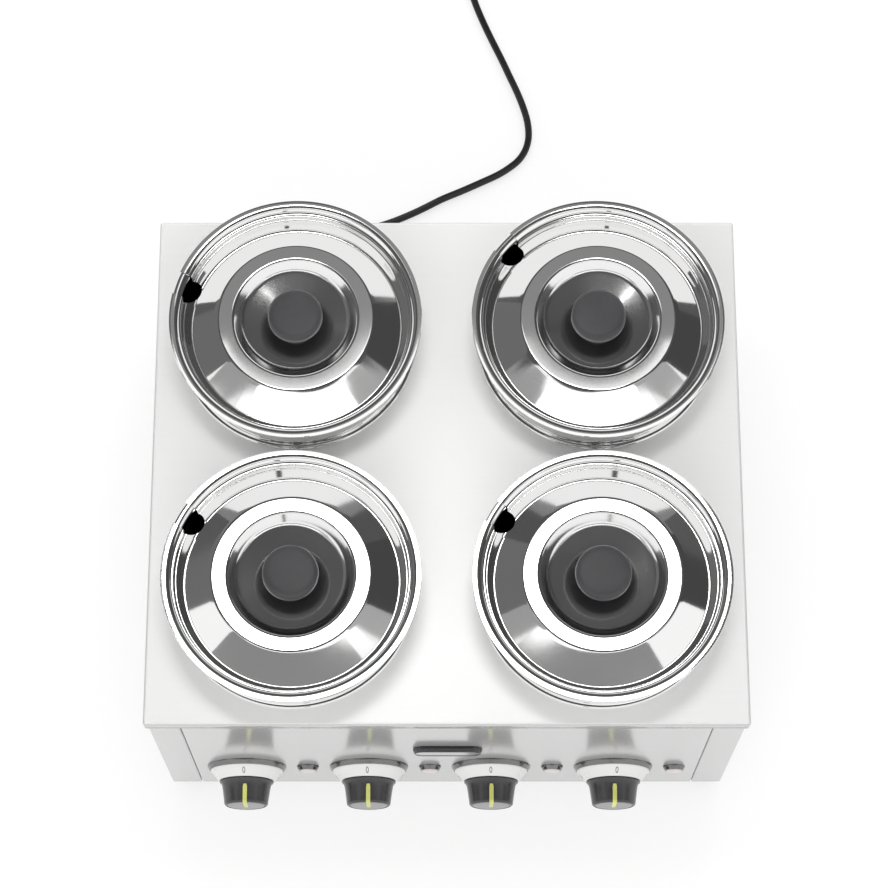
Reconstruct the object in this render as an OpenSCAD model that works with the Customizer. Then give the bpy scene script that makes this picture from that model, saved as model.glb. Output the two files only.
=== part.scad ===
// Four-pot counter warmer for hot fudge and other toppings. A folded steel housing carries four dry
// wells, four lift-out pots with recessed lids, and four thermostat dials on its front panel.
// Millimetres, +Z up, front towards -Y. The origin is on the floor under the middle of the box round
// the object, its cord left out.

/* [Pots] */
// Outer radius of a pot's wall
pot_r = 103; // [95:0.5:112]
// Thickness of a pot's wall
pot_t = 0.9; // [0.7:0.1:1.2]
// Depth of a pot below the top of the deck
pot_depth = 125; // [105:1:150]
// Height of the lids' flanges above the deck
rim_h = 50; // [40:1:65]
// Outer radius of the bottom corner of a pot
pot_corner_r = 12; // [8:0.5:18]
// Radius of the flare below a pot's rim
flare_r = 5; // [4:0.25:6.5]
// Radius of the rolled edge of a pot
rim_roll_r = 1.5; // [1.3:0.1:1.8]
// How far the bead that a pot hangs from stands out of its wall
bead_proud = 3.8; // [3.4:0.1:4.5]
// Radius of the bead's rounded edge
bead_r = 2.2; // [2:0.1:2.4]

/* [Lids] */
// Thickness of a lid
lid_t = 0.8; // [0.6:0.1:1]
// How far a lid reaches past the rim of its pot
lid_edge = 0.4; // [0.2:0.1:1]
// Depth of the groove round a lid
groove_depth = 14.5; // [12:0.5:18]
// Inner radius of the groove's bottom
groove_r = 1.6; // [1.2:0.1:2.4]
// Radius at which the cone of a lid meets its flat ring
ring_r = 67; // [62:0.5:72]
// Radius of the bend between the cone and the flat ring
ring_bend_r = 5; // [3:0.5:7]
// Radius of the dish in the middle of a lid
dish_r = 53.5; // [48:0.5:58]
// Depth of the dish
dish_depth = 15; // [13:0.5:18]
// Slope of a dish's floor, in degrees
dish_floor_a = 14; // [6:1:18]
// Slope of a dish's wall, in degrees
dish_wall_a = 40; // [36:1:50]
// Radius between a dish's floor and wall
dish_fillet_r = 12; // [8:0.5:13]
// Radius of the dish's upper edge
dish_edge_r = 2; // [1.5:0.1:2.5]
// Width of the ladle notch
notch_w = 21; // [16:0.5:26]
// Reach of the ladle notch inwards from the edge of a lid
notch_reach = 23.3; // [20:0.1:27]
// Turn of the rear left lid, degrees from +X to its notch
notch_turn_rear_left = 162.7; // [0:0.1:360]
// Turn of the rear right lid
notch_turn_rear_right = 139.5; // [0:0.1:360]
// Turn of the front left lid
notch_turn_front_left = 150.4; // [0:0.1:360]
// Turn of the front right lid
notch_turn_front_right = 149.3; // [0:0.1:360]

/* [Lid knobs] */
// Radius of a lid knob's head
lid_knob_r = 24; // [20:0.5:28]
// Height of a lid knob
lid_knob_h = 24; // [20:0.5:28]
// Radius of the head's upper edge
lid_knob_edge_r = 5.5; // [3:0.5:7]
// Height of the head's upright side
lid_knob_side_h = 4; // [2:0.5:6]
// Height of the sloping underside of the head
lid_knob_under_h = 5; // [3:0.5:6]
// Radius of the stem
lid_knob_stem_r = 11; // [9:0.5:14]
// Radius of the lid screw's shank
lid_screw_r = 2.5; // [2:0.1:3]
// Radius of the lid screw's head
lid_screw_head_r = 4.6; // [4.2:0.1:6]
// Height of the lid screw's head
lid_screw_head_h = 2.6; // [2:0.1:3.5]
// Reach of the lid screw into the knob
lid_screw_reach = 11; // [8:0.5:14]

/* [Deck] */
// Thickness of the housing's steel sheet
sheet_t = 1; // [0.8:0.1:1.2]
// Height of the folded lip round the deck
lip_h = 13; // [9:0.5:18]
// Gap between the lip and the panels behind it
lip_gap = 1.5; // [0.8:0.1:2.5]
// Steel left between a pot hole and the side of the deck
side_gap = 23.4; // [20:0.1:35]
// Steel left between the left and right pot holes
column_gap = 58.8; // [30:0.1:80]
// Steel left between a front pot hole and the front of the deck
front_gap = 16.4; // [15:0.1:40]
// Steel left between a rear pot hole and the rear of the deck
rear_gap = 8.4; // [6.5:0.1:40]
// Steel left between the front and rear pot holes
row_gap = 26.8; // [18:0.1:60]

/* [Housing] */
// Height of the feet below the panels
foot_h = 12; // [8:0.5:20]
// Height of the space for parts below the heaters
service_h = 112; // [104:1:130]
// Width of the side panels' returns at the front and rear
return_w = 27.5; // [20:0.5:36]
// Depth of the folds along the seams
seam_fold = 12; // [8:0.5:14]
// Gap in the seams between the panels
seam_gap = 0.3; // [0.2:0.1:0.6]
// Width of the panels' bottom folds and of the side panels' top folds
fold_w = 12; // [10:0.5:14]
// Width of the front panel's top fold
front_fold_w = 10; // [6:0.5:10]
// Radius of a foot
foot_r = 14; // [11:0.5:18]
// Distance of the feet's centres from the outer faces of the panels
foot_inset = 40; // [34:1:60]

/* [Wells] */
// Gap between a pot's wall and the edge of its hole
hole_gap = 0.6; // [0.5:0.1:0.8]
// How much wider a well is than the hole above it
well_gap = 0.3; // [0.2:0.1:0.6]
// Air gap between the bottom of a pot and its well
pot_floor_gap = 3.8; // [2:0.1:8]
// Radius of the heater's tube
heater_tube_r = 4; // [3:0.1:5]
// Radius of the heater's ring
heater_ring_r = 70; // [50:1:85]
// Angle of the heater's ring, degrees
heater_span = 320; // [280:5:330]
// Length of the heater's two cold ends
heater_end_h = 14; // [8:0.5:18]

/* [Dials] */
// Height of the dials above the panels' bottom edge
dial_h = 69.4; // [60:0.1:76]
// Distance from the left seam to the first dial
dial_left = 47; // [40:0.5:52]
// Distance from the last pilot lamp to the right seam
lamp_right = 21.7; // [18:0.1:30]
// Outer radius of a dial's bezel ring
bezel_r = 36; // [34.9:0.1:38]
// Depth of the bezel ring
bezel_h = 4.7; // [4.2:0.1:5]
// Depth at which the bezel ring starts to narrow
bezel_side_h = 0.8; // [0.4:0.1:2]
// Outer radius of the white scale ring
scale_r = 33.3; // [32:0.1:33.4]
// Radius at the front of the scale ring's cone
scale_front_r = 25.6; // [25:0.1:27]
// Depth at which the scale ring's cone starts
scale_start_h = 5.2; // [4:0.1:6]
// Depth of the scale ring
scale_h = 14; // [11:0.1:15]
// Wall of the scale ring
scale_t = 1.6; // [1.2:0.1:2]
// Radius of a dial knob's skirt
knob_skirt_r = 24.6; // [23.5:0.1:26]
// Radius of the knob's grip behind its front edge
knob_r = 20; // [18.5:0.1:21]
// Radius of the knob's front edge
knob_edge_r = 2.6; // [1.5:0.1:3.5]
// Reach of the dials out of the front panel
dial_reach = 37; // [34:0.5:40]
// Width of a pointer line
pointer_w = 3.8; // [2.6:0.1:4]
// Depth of a pointer line in the knob
pointer_depth = 1; // [0.8:0.1:1.4]
// How far a pointer line runs past the middle of the knob's face
pointer_past = 5; // [0:0.5:8]
// Radius of a thermostat's spindle
spindle_r = 3; // [2.5:0.1:3.5]
// Running clearance round the spindle
spindle_gap = 0.05; // [0.03:0.01:0.1]

/* [Thermostats] */
// Width of a thermostat's case
stat_w = 36; // [30:0.5:42]
// Height of a thermostat's case
stat_h = 36; // [30:0.5:40]
// Depth of a thermostat's case
stat_d = 26; // [22:0.5:30]
// Radius of a thermostat's threaded bush
bush_r = 4.9; // [4.5:0.1:5.5]

/* [Pilot lamps] */
// Outer radius of a pilot lamp's bezel
lamp_r = 10.1; // [8.5:0.1:11]
// Depth of a pilot lamp's bezel
lamp_h = 4.3; // [3:0.1:4.6]
// Depth at which a pilot lamp's bezel starts to narrow
lamp_side_h = 0.6; // [0.3:0.1:1.5]
// Radius of a pilot lamp's lens
lens_r = 7.4; // [6.5:0.1:7.8]
// Reach of the lens out of the panel
lens_h = 5.2; // [4.8:0.1:6.5]
// Length of the lamp's barrel behind the panel's face
barrel_h = 20; // [12:0.5:26]

/* [Badge] */
// Width of the blank badge
badge_w = 62; // [55:0.5:72]
// Height of the badge
badge_tall = 20; // [14:0.5:24]
// Thickness of the badge
badge_t = 5.5; // [3:0.1:6]
// Offset of the badge's middle to the right of the unit's middle
badge_x = 0.8; // [0:0.1:4]
// Height of the badge's middle above the panels' bottom edge
badge_h = 146; // [142:0.5:160]

/* [Cord and plug] */
// Diameter of the mains cord
cord_d = 7; // [6:0.1:7.2]
// Gap between the coil's turns
coil_gap = 0.6; // [0.5:0.1:1]
// Turns of each layer of the coil
coil_layer_turns = 2; // [1:1:3]
// Outer radius of the coil's first turn, to the middle of the cord
coil_r = 46; // [44:0.5:50]
// Distance of the gland to the left of the middle
gland_left = 150; // [100:1:200]
// Height of the gland above the floor
gland_z = 40; // [34:0.5:44]
// Radius of the gland's collar
gland_r = 13; // [11:0.5:16]
// Thickness of the gland's collars
gland_collar_h = 4; // [3:0.5:6]
// Radius of the gland's neck in the rear panel
gland_neck_r = 8; // [7:0.1:9]
// Radius at the root of the strain relief
relief_r = 7.5; // [6.5:0.1:9]
// Radius at the tip of the strain relief
relief_tip_r = 4.6; // [4.2:0.1:5.5]
// Length of the strain relief
relief_h = 28; // [22:0.5:40]
// Radius of the plug's face
plug_r = 17; // [16:0.5:19]
// Length of the plug's body
plug_h = 30; // [26:0.5:36]
// Radius of a plug pin
pin_r = 2.4; // [2:0.1:2.5]
// Length of a plug pin
pin_h = 19; // [15:0.5:20]
// Distance between the plug's pins
pin_pitch = 19; // [17:0.5:21]

/* [Small parts] */
// Radius of a base screw's shank
base_screw_r = 1.9; // [1.6:0.1:2.2]
// Radius of a base screw's head
base_screw_head_r = 3.8; // [3.4:0.1:4.4]
// Height of a base screw's head
base_screw_head_h = 2.2; // [1.6:0.1:2.6]
// Radius of a foot screw's shank
foot_screw_r = 2.4; // [2:0.1:2.8]
// Radius of a foot screw's head
foot_screw_head_r = 4.4; // [4:0.1:5]
// Height of a foot screw's head
foot_screw_head_h = 3; // [2.4:0.1:3.4]
// Width of the terminal block
block_w = 46; // [36:1:60]
// Depth of the terminal block
block_d = 20; // [16:1:26]
// Height of the terminal block
block_h = 18; // [14:1:24]
// Poles of the terminal block
block_poles = 3; // [2:1:4]

/* [Hidden] */

// Steps round a turned part
$fn = 96;
// Steps along a small arc of an outline
arc_steps = 5;
// Overrun of every cut
cut = 1;
// Gap between faces of parts that lift apart
seat_gap = 0.2;
// Gap round a fixed part that drops into its neighbour
fit_gap = 0.3;
// Gap round a screw's shank, and between a fixed boss and its hole
hole_slack = 0.2;

// Pots and the deck they hang in
hole_r = pot_r + hole_gap;
well_r = hole_r + well_gap;
deck_w = 4*hole_r + 2*side_gap + column_gap;
deck_d = 4*hole_r + front_gap + rear_gap + row_gap;
pot_x = hole_r + column_gap/2;
pot_y_rear = deck_d/2 - rear_gap - hole_r;
pot_y_front = -deck_d/2 + front_gap + hole_r;
REAR_LEFT = [-pot_x, pot_y_rear];
REAR_RIGHT = [pot_x, pot_y_rear];
FRONT_LEFT = [-pot_x, pot_y_front];
FRONT_RIGHT = [pot_x, pot_y_front];
POT_PLACES = [REAR_LEFT, REAR_RIGHT, FRONT_LEFT, FRONT_RIGHT];

// Heights
heater_z = foot_h + service_h + heater_tube_r;
well_z = heater_z + heater_tube_r + seat_gap;
deck_z = well_z + sheet_t + pot_floor_gap + pot_depth;
panel_top_z = deck_z - sheet_t;

// Panels
panel_x = deck_w/2 - sheet_t - lip_gap;
panel_y = deck_d/2 - sheet_t - lip_gap;
front_x = panel_x - return_w - seam_gap;
fold_gap = front_x - sheet_t - fit_gap;
foot_x = panel_x - foot_inset;
foot_y = panel_y - foot_inset;
FOOT_PLACES = [for (i = [-1, 1], j = [-1, 1]) [i*foot_x, j*foot_y]];

// Base screws: along the side folds, and along the front and rear folds
side_screw_x = panel_x - fold_w/2;
side_screw_y_share = 0.62;
end_screw_y = panel_y - fold_w/2;
end_screw_x_share = 0.5;
SIDE_SCREWS = [for (i = [-1, 1], j = [-1:1]) [i*side_screw_x, j*side_screw_y_share*panel_y]];
END_SCREWS = [for (i = [-1, 1], j = [-1, 1]) [i*end_screw_x_share*front_x, j*end_screw_y]];
BASE_SCREWS = concat(SIDE_SCREWS, END_SCREWS);

// Cooling slots in the base plate and the rear panel
slot_w = 4;
slot_pitch = 12;
slot_count = 9;
base_slot_l = 60;
rear_slot_l = 34;
rear_slot_h = 190;
rear_slot_x_share = 0.5;
base_slot_y_share = 0.42;

// Dials and lamps, spread evenly between the seams
dial_pitch_share = 3.5;
dial_pitch = (2*front_x + 2*seam_gap - dial_left - lamp_right)/dial_pitch_share;
dial_x0 = -front_x - seam_gap + dial_left;
dial_z = foot_h + dial_h;
function dial_x(i) = dial_x0 + (i - 1)*dial_pitch;
function lamp_x(i) = dial_x(i) + dial_pitch/2;
bezel_in_r = scale_r + hole_slack;
bezel_front_w = 0.4;
scale_front_in_r = scale_front_r - scale_t;
scale_back_in_r = scale_r - scale_t;
knob_back_h = 5;
knob_back_r = scale_front_in_r - scale_t - fit_gap;
skirt_gap = 0.5;
skirt_t = 1.1;
skirt_h = scale_h + skirt_gap;
throat_r_share = 0.93;
throat_h = skirt_h + 2*skirt_t;
waist_r_share = 0.885;
waist_run = 2.8;
waist_h = throat_h + waist_run;
knob_web = 8;
spindle_h = dial_reach - knob_web;
spindle_in_h = 18;
bush_h = 3;
plate_t = 1.5;
plate_ear = 5;
plate_w = stat_w + 2*plate_ear;
bush_hole_r = bush_r + hole_slack;
barrel_step = 0.5;
barrel_r = lens_r - barrel_step;
barrel_hole_r = barrel_r + hole_slack;
pointer_start_h = waist_h + skirt_gap;
lamp_in_r = lens_r + hole_slack/2;
lamp_front_w = 0.5;

// Lids and lid knobs, heights from the top of the flange
rim_flat = 1.4;
lid_r = pot_r + flare_r + rim_flat + rim_roll_r + lid_edge;
lid_wall_gap = 0.7;
lid_flare_r = flare_r + pot_t + lid_wall_gap + lid_t;
flare_x = pot_r + flare_r;
lid_wall_x = flare_x - lid_flare_r;
groove_c = [lid_wall_x - groove_r, groove_r - groove_depth];
ring_c = [ring_r, -ring_bend_r];
cone_a = atan2(ring_c.x - groove_c.x, ring_c.y - groove_c.y)
    + acos(-(ring_bend_r + groove_r)/norm(ring_c - groove_c));
dish_c = [dish_r + dish_edge_r, -dish_edge_r];
lid_knob_lip = 1.5;
dish_floor_r = lid_knob_stem_r + 2*lid_knob_lip;
dish_floor_k = dish_fillet_r - dish_floor_r*sin(dish_floor_a) - dish_depth*cos(dish_floor_a);
dish_wall_k = dish_fillet_r + dish_edge_r - dish_c.x*sin(dish_wall_a) + dish_c.y*cos(dish_wall_a);
dish_fillet_c = [dish_floor_k*cos(dish_wall_a) - dish_wall_k*cos(dish_floor_a),
    dish_floor_k*sin(dish_wall_a) - dish_wall_k*sin(dish_floor_a)]/sin(dish_wall_a - dish_floor_a);
knob_bore_r = lid_screw_r + hole_slack;
knob_crown_h = 0.6;
LID_TURNS = [notch_turn_rear_left, notch_turn_rear_right, notch_turn_front_left, notch_turn_front_right];

// Place of the object's box: the dials reach forwards, the deck or the lids rearwards
front_reach = panel_y + dial_reach;
rear_reach = max(deck_d/2, pot_y_rear + lid_r);
shift_y = (front_reach - rear_reach)/2;

// Route of the free cord from the strain relief to the coil, before the shift of the box
cord_r = cord_d/2;
gland_tip_y = panel_y + gland_collar_h + relief_h;
ROUTE = [
    [-150, 270, 40], [-149, 284, 38], [-146, 297, 31], [-139, 309, 21], [-129, 318, 12],
    [-115, 325, 6], [-98, 331, 3.5], [-76, 337, 3.5], [-53, 345, 3.5], [-29, 356, 3.5],
    [-5, 369, 3.5], [15, 378, 3.5], [36, 388, 3.5], [52, 396, 3.5], [64, 404, 3.5],
    [74, 413, 3.5], [81, 425, 3.5], [84, 439, 3.5], [83, 455, 3.5], [79, 471, 3.5],
    [73, 488, 3.5], [65, 507, 3.5], [57, 526, 3.5], [48, 546, 3.5], [39, 567, 3.5],
    [31, 588, 3.5], [25, 608, 3.5], [20, 628, 3.5], [17, 646, 3.5]
];
coil_c = [62, 668];
cord_end = [coil_c.x - coil_r, coil_c.y - cord_d, cord_r];
CORD_PATH = concat([[-gland_left, gland_tip_y, gland_z]], ROUTE, [cord_end]);

// Coil: two layers, wound in on the floor and out again on top
coil_step = cord_d + coil_gap;
coil_half_turn = 0.5;
coil_last_turn = 0.25;
coil_turns = 2*coil_layer_turns + coil_last_turn;
coil_turn_in = coil_layer_turns;
coil_turn_mid = coil_turn_in + coil_half_turn/2;
tail_run = 44;
tail_steps = 6;
coil_rings = 24;
coil_sides = 6;
cord_sides = 10;
plug_z = plug_r;

module place() translate([0, shift_y, 0]) children();

function arc(c, r, a0, a1, n = arc_steps) =
    [for (i = [0:n]) let(a = a0 + (a1 - a0)*i/n) c + r*[cos(a), sin(a)]];
function reversed(v) = [for (i = [len(v) - 1:-1:0]) v[i]];
function smooth(t) = let(s = min(max(t, 0), 1)) s*s*(3 - 2*s);

module slab(x0, x1, y0, y1, z0, z1) {
    translate([x0, y0, z0]) cube([x1 - x0, y1 - y0, z1 - z0]);
}

// Turns a profile of [radius, reach out of the front panel] about a dial's or a lamp's axis
module on_front(x, z = dial_z) translate([x, -panel_y, z]) rotate([90, 0, 0]) children();

// Tube along a path, its ends square to their first and last runs
function tangent(p, i) =
    let(n = len(p) - 1, d = i == 0 ? p[1] - p[0] : i == n ? p[n] - p[n - 1] : p[i + 1] - p[i - 1])
    d/norm(d);
function ring(p, i, r, sides) =
    let(t = tangent(p, i), s = cross(t, [0, 0, 1])/norm(cross(t, [0, 0, 1])), u = cross(s, t))
    [for (k = [0:sides - 1]) let(a = 360*(k + 0.5)/sides) p[i] + r*(cos(a)*s + sin(a)*u)];
module tube(p, r, sides) {
    last = (len(p) - 1)*sides;
    skin = [for (i = [0:len(p) - 2], k = [0:sides - 1])
        let(a = i*sides + k, b = i*sides + (k + 1)%sides)
        each [[a, a + sides, b], [b, a + sides, b + sides]]];
    near_end = [[for (k = [0:sides - 1]) k]];
    far_end = [[for (k = [sides - 1:-1:0]) last + k]];
    polyhedron([for (i = [0:len(p) - 1]) each ring(p, i, r, sides)], concat(skin, near_end, far_end));
}

module deck() color("#c9cbcd") place() difference() {
    slab(-deck_w/2, deck_w/2, -deck_d/2, deck_d/2, deck_z - lip_h, deck_z);
    slab(sheet_t - deck_w/2, deck_w/2 - sheet_t, sheet_t - deck_d/2, deck_d/2 - sheet_t,
        deck_z - lip_h - cut, panel_top_z);
    for (p = POT_PLACES) translate([p.x, p.y, panel_top_z - cut]) cylinder(r = hole_r, h = sheet_t + 2*cut);
}

// Side panel with returns at the front and rear and folds at the top and bottom
module side_panel() {
    in_x = panel_x - return_w;
    difference() {
        union() {
            slab(panel_x - sheet_t, panel_x, -panel_y, panel_y, foot_h, panel_top_z);
            for (z = [foot_h, panel_top_z - sheet_t])
                slab(panel_x - fold_w, panel_x, -panel_y, panel_y, z, z + sheet_t);
            for (m = [0, 1]) mirror([0, m, 0]) {
                slab(in_x, panel_x, -panel_y, sheet_t - panel_y, foot_h, panel_top_z);
                slab(in_x, in_x + sheet_t, -panel_y, seam_fold - panel_y, foot_h, panel_top_z);
            }
        }
        screw_holes(SIDE_SCREWS);
    }
}
module side_panel_left() color("#c2c4c6") place() mirror([1, 0, 0]) side_panel();
module side_panel_right() color("#c2c4c6") place() side_panel();

// Sheet between the two seams, with folds along its sides and its bottom
module end_panel() {
    slab(-front_x, front_x, -panel_y, sheet_t - panel_y, foot_h, panel_top_z);
    slab(-front_x, front_x, -panel_y, fold_w - panel_y, foot_h, foot_h + sheet_t);
    for (m = [0, 1]) mirror([m, 0, 0])
        slab(front_x - sheet_t, front_x, -panel_y, seam_fold - panel_y, foot_h, panel_top_z);
}

module screw_holes(places) {
    for (p = places) translate([p.x, p.y, foot_h - cut])
        cylinder(r = base_screw_r + hole_slack, h = 2*sheet_t + 2*cut, $fn = 24);
}

module front_panel() color("#c6c8ca") place() difference() {
    union() {
        end_panel();
        slab(-front_x, front_x, -panel_y, front_fold_w - panel_y, panel_top_z - sheet_t, panel_top_z);
    }
    for (i = [1:4]) {
        on_front(dial_x(i)) translate([0, 0, -sheet_t - cut])
            cylinder(r = bush_hole_r, h = sheet_t + 2*cut, $fn = 48);
        on_front(lamp_x(i)) translate([0, 0, -sheet_t - cut])
            cylinder(r = barrel_hole_r, h = sheet_t + 2*cut, $fn = 48);
    }
    screw_holes(END_SCREWS);
}

module rear_panel() color("#c2c4c6") place() difference() {
    mirror([0, 1, 0]) end_panel();
    translate([-gland_left, panel_y + cut, gland_z]) rotate([90, 0, 0])
        cylinder(r = gland_neck_r + hole_slack, h = sheet_t + 2*cut, $fn = 48);
    for (m = [-1, 1], i = [0:slot_count - 1])
        translate([m*rear_slot_x_share*front_x + (i - (slot_count - 1)/2)*slot_pitch, panel_y, rear_slot_h])
            slab(-slot_w/2, slot_w/2, -sheet_t - cut, cut, -rear_slot_l/2, rear_slot_l/2);
    screw_holes(END_SCREWS);
}

module base_plate() color("#b4b6b8") place() difference() {
    union() {
        slab(sheet_t + fit_gap - panel_x, panel_x - sheet_t - fit_gap, seam_fold + fit_gap - panel_y,
            panel_y - seam_fold - fit_gap, foot_h + sheet_t, foot_h + 2*sheet_t);
        slab(-fold_gap, fold_gap, sheet_t + fit_gap - panel_y, panel_y - sheet_t - fit_gap,
            foot_h + sheet_t, foot_h + 2*sheet_t);
    }
    screw_holes(BASE_SCREWS);
    for (p = FOOT_PLACES) translate([p.x, p.y, foot_h])
        cylinder(r = foot_screw_r + hole_slack, h = 2*sheet_t + cut, $fn = 24);
    for (m = [-1, 1], j = [-1, 1], i = [0:slot_count - 1])
        translate([m*rear_slot_x_share*front_x + (i - (slot_count - 1)/2)*slot_pitch,
            j*base_slot_y_share*panel_y, foot_h])
            slab(-slot_w/2, slot_w/2, -base_slot_l/2, base_slot_l/2, 0, 2*sheet_t + cut);
}

module well(p) color("#aeb0b2") place() translate([p.x, p.y, well_z]) difference() {
    cylinder(r = well_r + sheet_t, h = panel_top_z - well_z);
    translate([0, 0, sheet_t]) cylinder(r = well_r, h = panel_top_z - well_z);
}

// Tubular ring element under a well, with a sleeve turned down at each end
heater_sleeve_t = 1;
heater_sleeve_top = heater_tube_r + seat_gap/2;
module heater(p) color("#6b6660") place() translate([p.x, p.y, heater_z]) {
    rotate_extrude(angle = heater_span) translate([heater_ring_r, 0]) circle(r = heater_tube_r, $fn = 24);
    for (a = [0, heater_span]) rotate(a) translate([heater_ring_r, 0, -heater_end_h])
        cylinder(r = heater_tube_r + heater_sleeve_t, h = heater_end_h + heater_sleeve_top, $fn = 24);
}

// Outline of a pot, heights from the top of the deck
pot_top = rim_h - lid_t - seat_gap;
rim_c = [flare_x + rim_flat, pot_top - rim_roll_r];
flare_c = [flare_x, pot_top - pot_t - flare_r];
pot_corner_c = [pot_r - pot_corner_r, pot_corner_r - pot_depth];
bead_c = [pot_r + bead_proud - bead_r, seat_gap + bead_r];
bead_fall = 1.2;
POT_OUTLINE = concat(
    [[0, -pot_depth]],
    arc(pot_corner_c, pot_corner_r, -90, 0),
    [[pot_r, seat_gap]],
    arc(bead_c, bead_r, -90, 90, 8),
    [[pot_r, seat_gap + 2*bead_r + bead_fall]],
    arc(flare_c, flare_r, 180, 90),
    arc(rim_c, rim_roll_r, 180 - asin((rim_roll_r - pot_t)/rim_roll_r), 450, 12),
    arc(flare_c, flare_r + pot_t, 90, 180),
    arc(pot_corner_c, pot_corner_r - pot_t, 0, -90),
    [[0, pot_t - pot_depth]]
);
module pot(p) color("#d4d6d8") place() translate([p.x, p.y, deck_z]) rotate_extrude() polygon(POT_OUTLINE);

// One face of a lid, from its edge to its middle, at a depth of o into the sheet
function lid_face(o) = concat(
    [[lid_r - lid_t/2, -o]],
    arc([flare_x, -lid_flare_r], lid_flare_r - o, 90, 180),
    arc(groove_c, groove_r + o, 0, -90 - cone_a),
    arc(ring_c, ring_bend_r - o, 90 - cone_a, 90),
    arc(dish_c, dish_edge_r - o, 90, 90 + dish_wall_a),
    arc(dish_fillet_c, dish_fillet_r + o, dish_wall_a - 90, dish_floor_a - 90),
    [[dish_floor_r + o*tan(dish_floor_a/2), -dish_depth - o], [0, -dish_depth - o]]
);
LID_OUTLINE = concat(lid_face(0), reversed(lid_face(lid_t)),
    arc([lid_r - lid_t/2, -lid_t/2], lid_t/2, -90, 90, 4));
module lid(p, turn) color("#dcdee0") place() translate([p.x, p.y, deck_z + rim_h]) difference() {
    rotate_extrude() polygon(LID_OUTLINE);
    translate([0, 0, -dish_depth - lid_t - cut])
        cylinder(r = lid_screw_r + hole_slack, h = lid_t + 2*cut, $fn = 24);
    rotate(turn) {
        notch_x = lid_r - notch_reach + notch_w/2;
        translate([notch_x, 0, -groove_depth - lid_t - cut])
            cylinder(r = notch_w/2, h = groove_depth + lid_t + 2*cut);
        slab(notch_x, lid_r + cut, -notch_w/2, notch_w/2, -groove_depth - lid_t - cut, cut);
    }
}

// Mushroom knob that stands on the floor of the dish
lid_knob_side_z = lid_knob_h - lid_knob_edge_r - lid_knob_side_h;
lid_knob_neck_z = lid_knob_side_z - lid_knob_under_h;
LID_KNOB_OUTLINE = concat(
    [[0, lid_screw_reach + cut], [knob_bore_r, lid_screw_reach + cut], [knob_bore_r, 0],
    [lid_knob_stem_r + lid_knob_lip, 0], [lid_knob_stem_r + lid_knob_lip, lid_knob_lip],
    [lid_knob_stem_r, 2*lid_knob_lip], [lid_knob_stem_r, lid_knob_neck_z],
    [lid_knob_r - lid_knob_lip, lid_knob_side_z - lid_knob_lip], [lid_knob_r, lid_knob_side_z]],
    arc([lid_knob_r - lid_knob_edge_r, lid_knob_h - lid_knob_edge_r], lid_knob_edge_r, 0, 90),
    [[0, lid_knob_h + knob_crown_h]]
);
module lid_knob(p) color("#232325") place() translate([p.x, p.y, deck_z + rim_h - dish_depth])
    rotate_extrude() polygon(LID_KNOB_OUTLINE);

module lid_screw(p) color("#b9bbbd") place() translate([p.x, p.y, deck_z + rim_h - dish_depth - lid_t]) {
    cylinder(r = lid_screw_r, h = lid_t + lid_screw_reach, $fn = 24);
    translate([0, 0, -lid_screw_head_h]) cylinder(r = lid_screw_head_r, h = lid_screw_head_h, $fn = 48);
}

// Thermostat behind the front panel: mounting plate, case and threaded bush with the spindle's bore
module thermostat(i) color("#8d8f92") place() on_front(dial_x(i)) difference() {
    union() {
        translate([0, 0, -sheet_t - plate_t/2]) cube([plate_w, stat_h, plate_t], center = true);
        translate([0, 0, -sheet_t - plate_t - stat_d/2]) cube([stat_w, stat_h, stat_d], center = true);
        translate([0, 0, -sheet_t - plate_t]) cylinder(r = bush_r, h = sheet_t + plate_t + bush_h, $fn = 48);
    }
    translate([0, 0, -spindle_in_h - spindle_gap])
        cylinder(r = spindle_r + spindle_gap, h = spindle_in_h + bush_h + cut, $fn = 48);
}

module spindle(i) color("#a9abad") place() on_front(dial_x(i)) translate([0, 0, -spindle_in_h])
    cylinder(r = spindle_r, h = spindle_in_h + spindle_h, $fn = 48);

module dial_bezels() color("#3c3d40") place() for (i = [1:4]) on_front(dial_x(i)) rotate_extrude()
    polygon([[bezel_in_r, 0], [bezel_r, 0], [bezel_r, bezel_side_h], [bezel_in_r + bezel_front_w, bezel_h],
        [bezel_in_r, bezel_h]]);

// White conical ring that carries the dial's scale
module scale_rings() color("#f2f2ee") place() for (i = [1:4]) on_front(dial_x(i)) rotate_extrude()
    polygon([[scale_back_in_r, 0], [scale_r, 0], [scale_r, scale_start_h], [scale_front_r, scale_h],
        [scale_front_in_r, scale_h], [scale_back_in_r, scale_start_h]]);

// Outside of a dial knob from its skirt to the middle of its face, moved in by o
function knob_face(o) = concat(
    [[knob_skirt_r - o, skirt_h], [knob_skirt_r - o, skirt_h + skirt_t],
    [throat_r_share*knob_skirt_r - o, throat_h], [waist_r_share*knob_skirt_r - o, waist_h]],
    arc([knob_r - knob_edge_r, dial_reach - knob_edge_r], knob_edge_r - o, 0, 90),
    [[0, dial_reach - o]]
);
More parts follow.
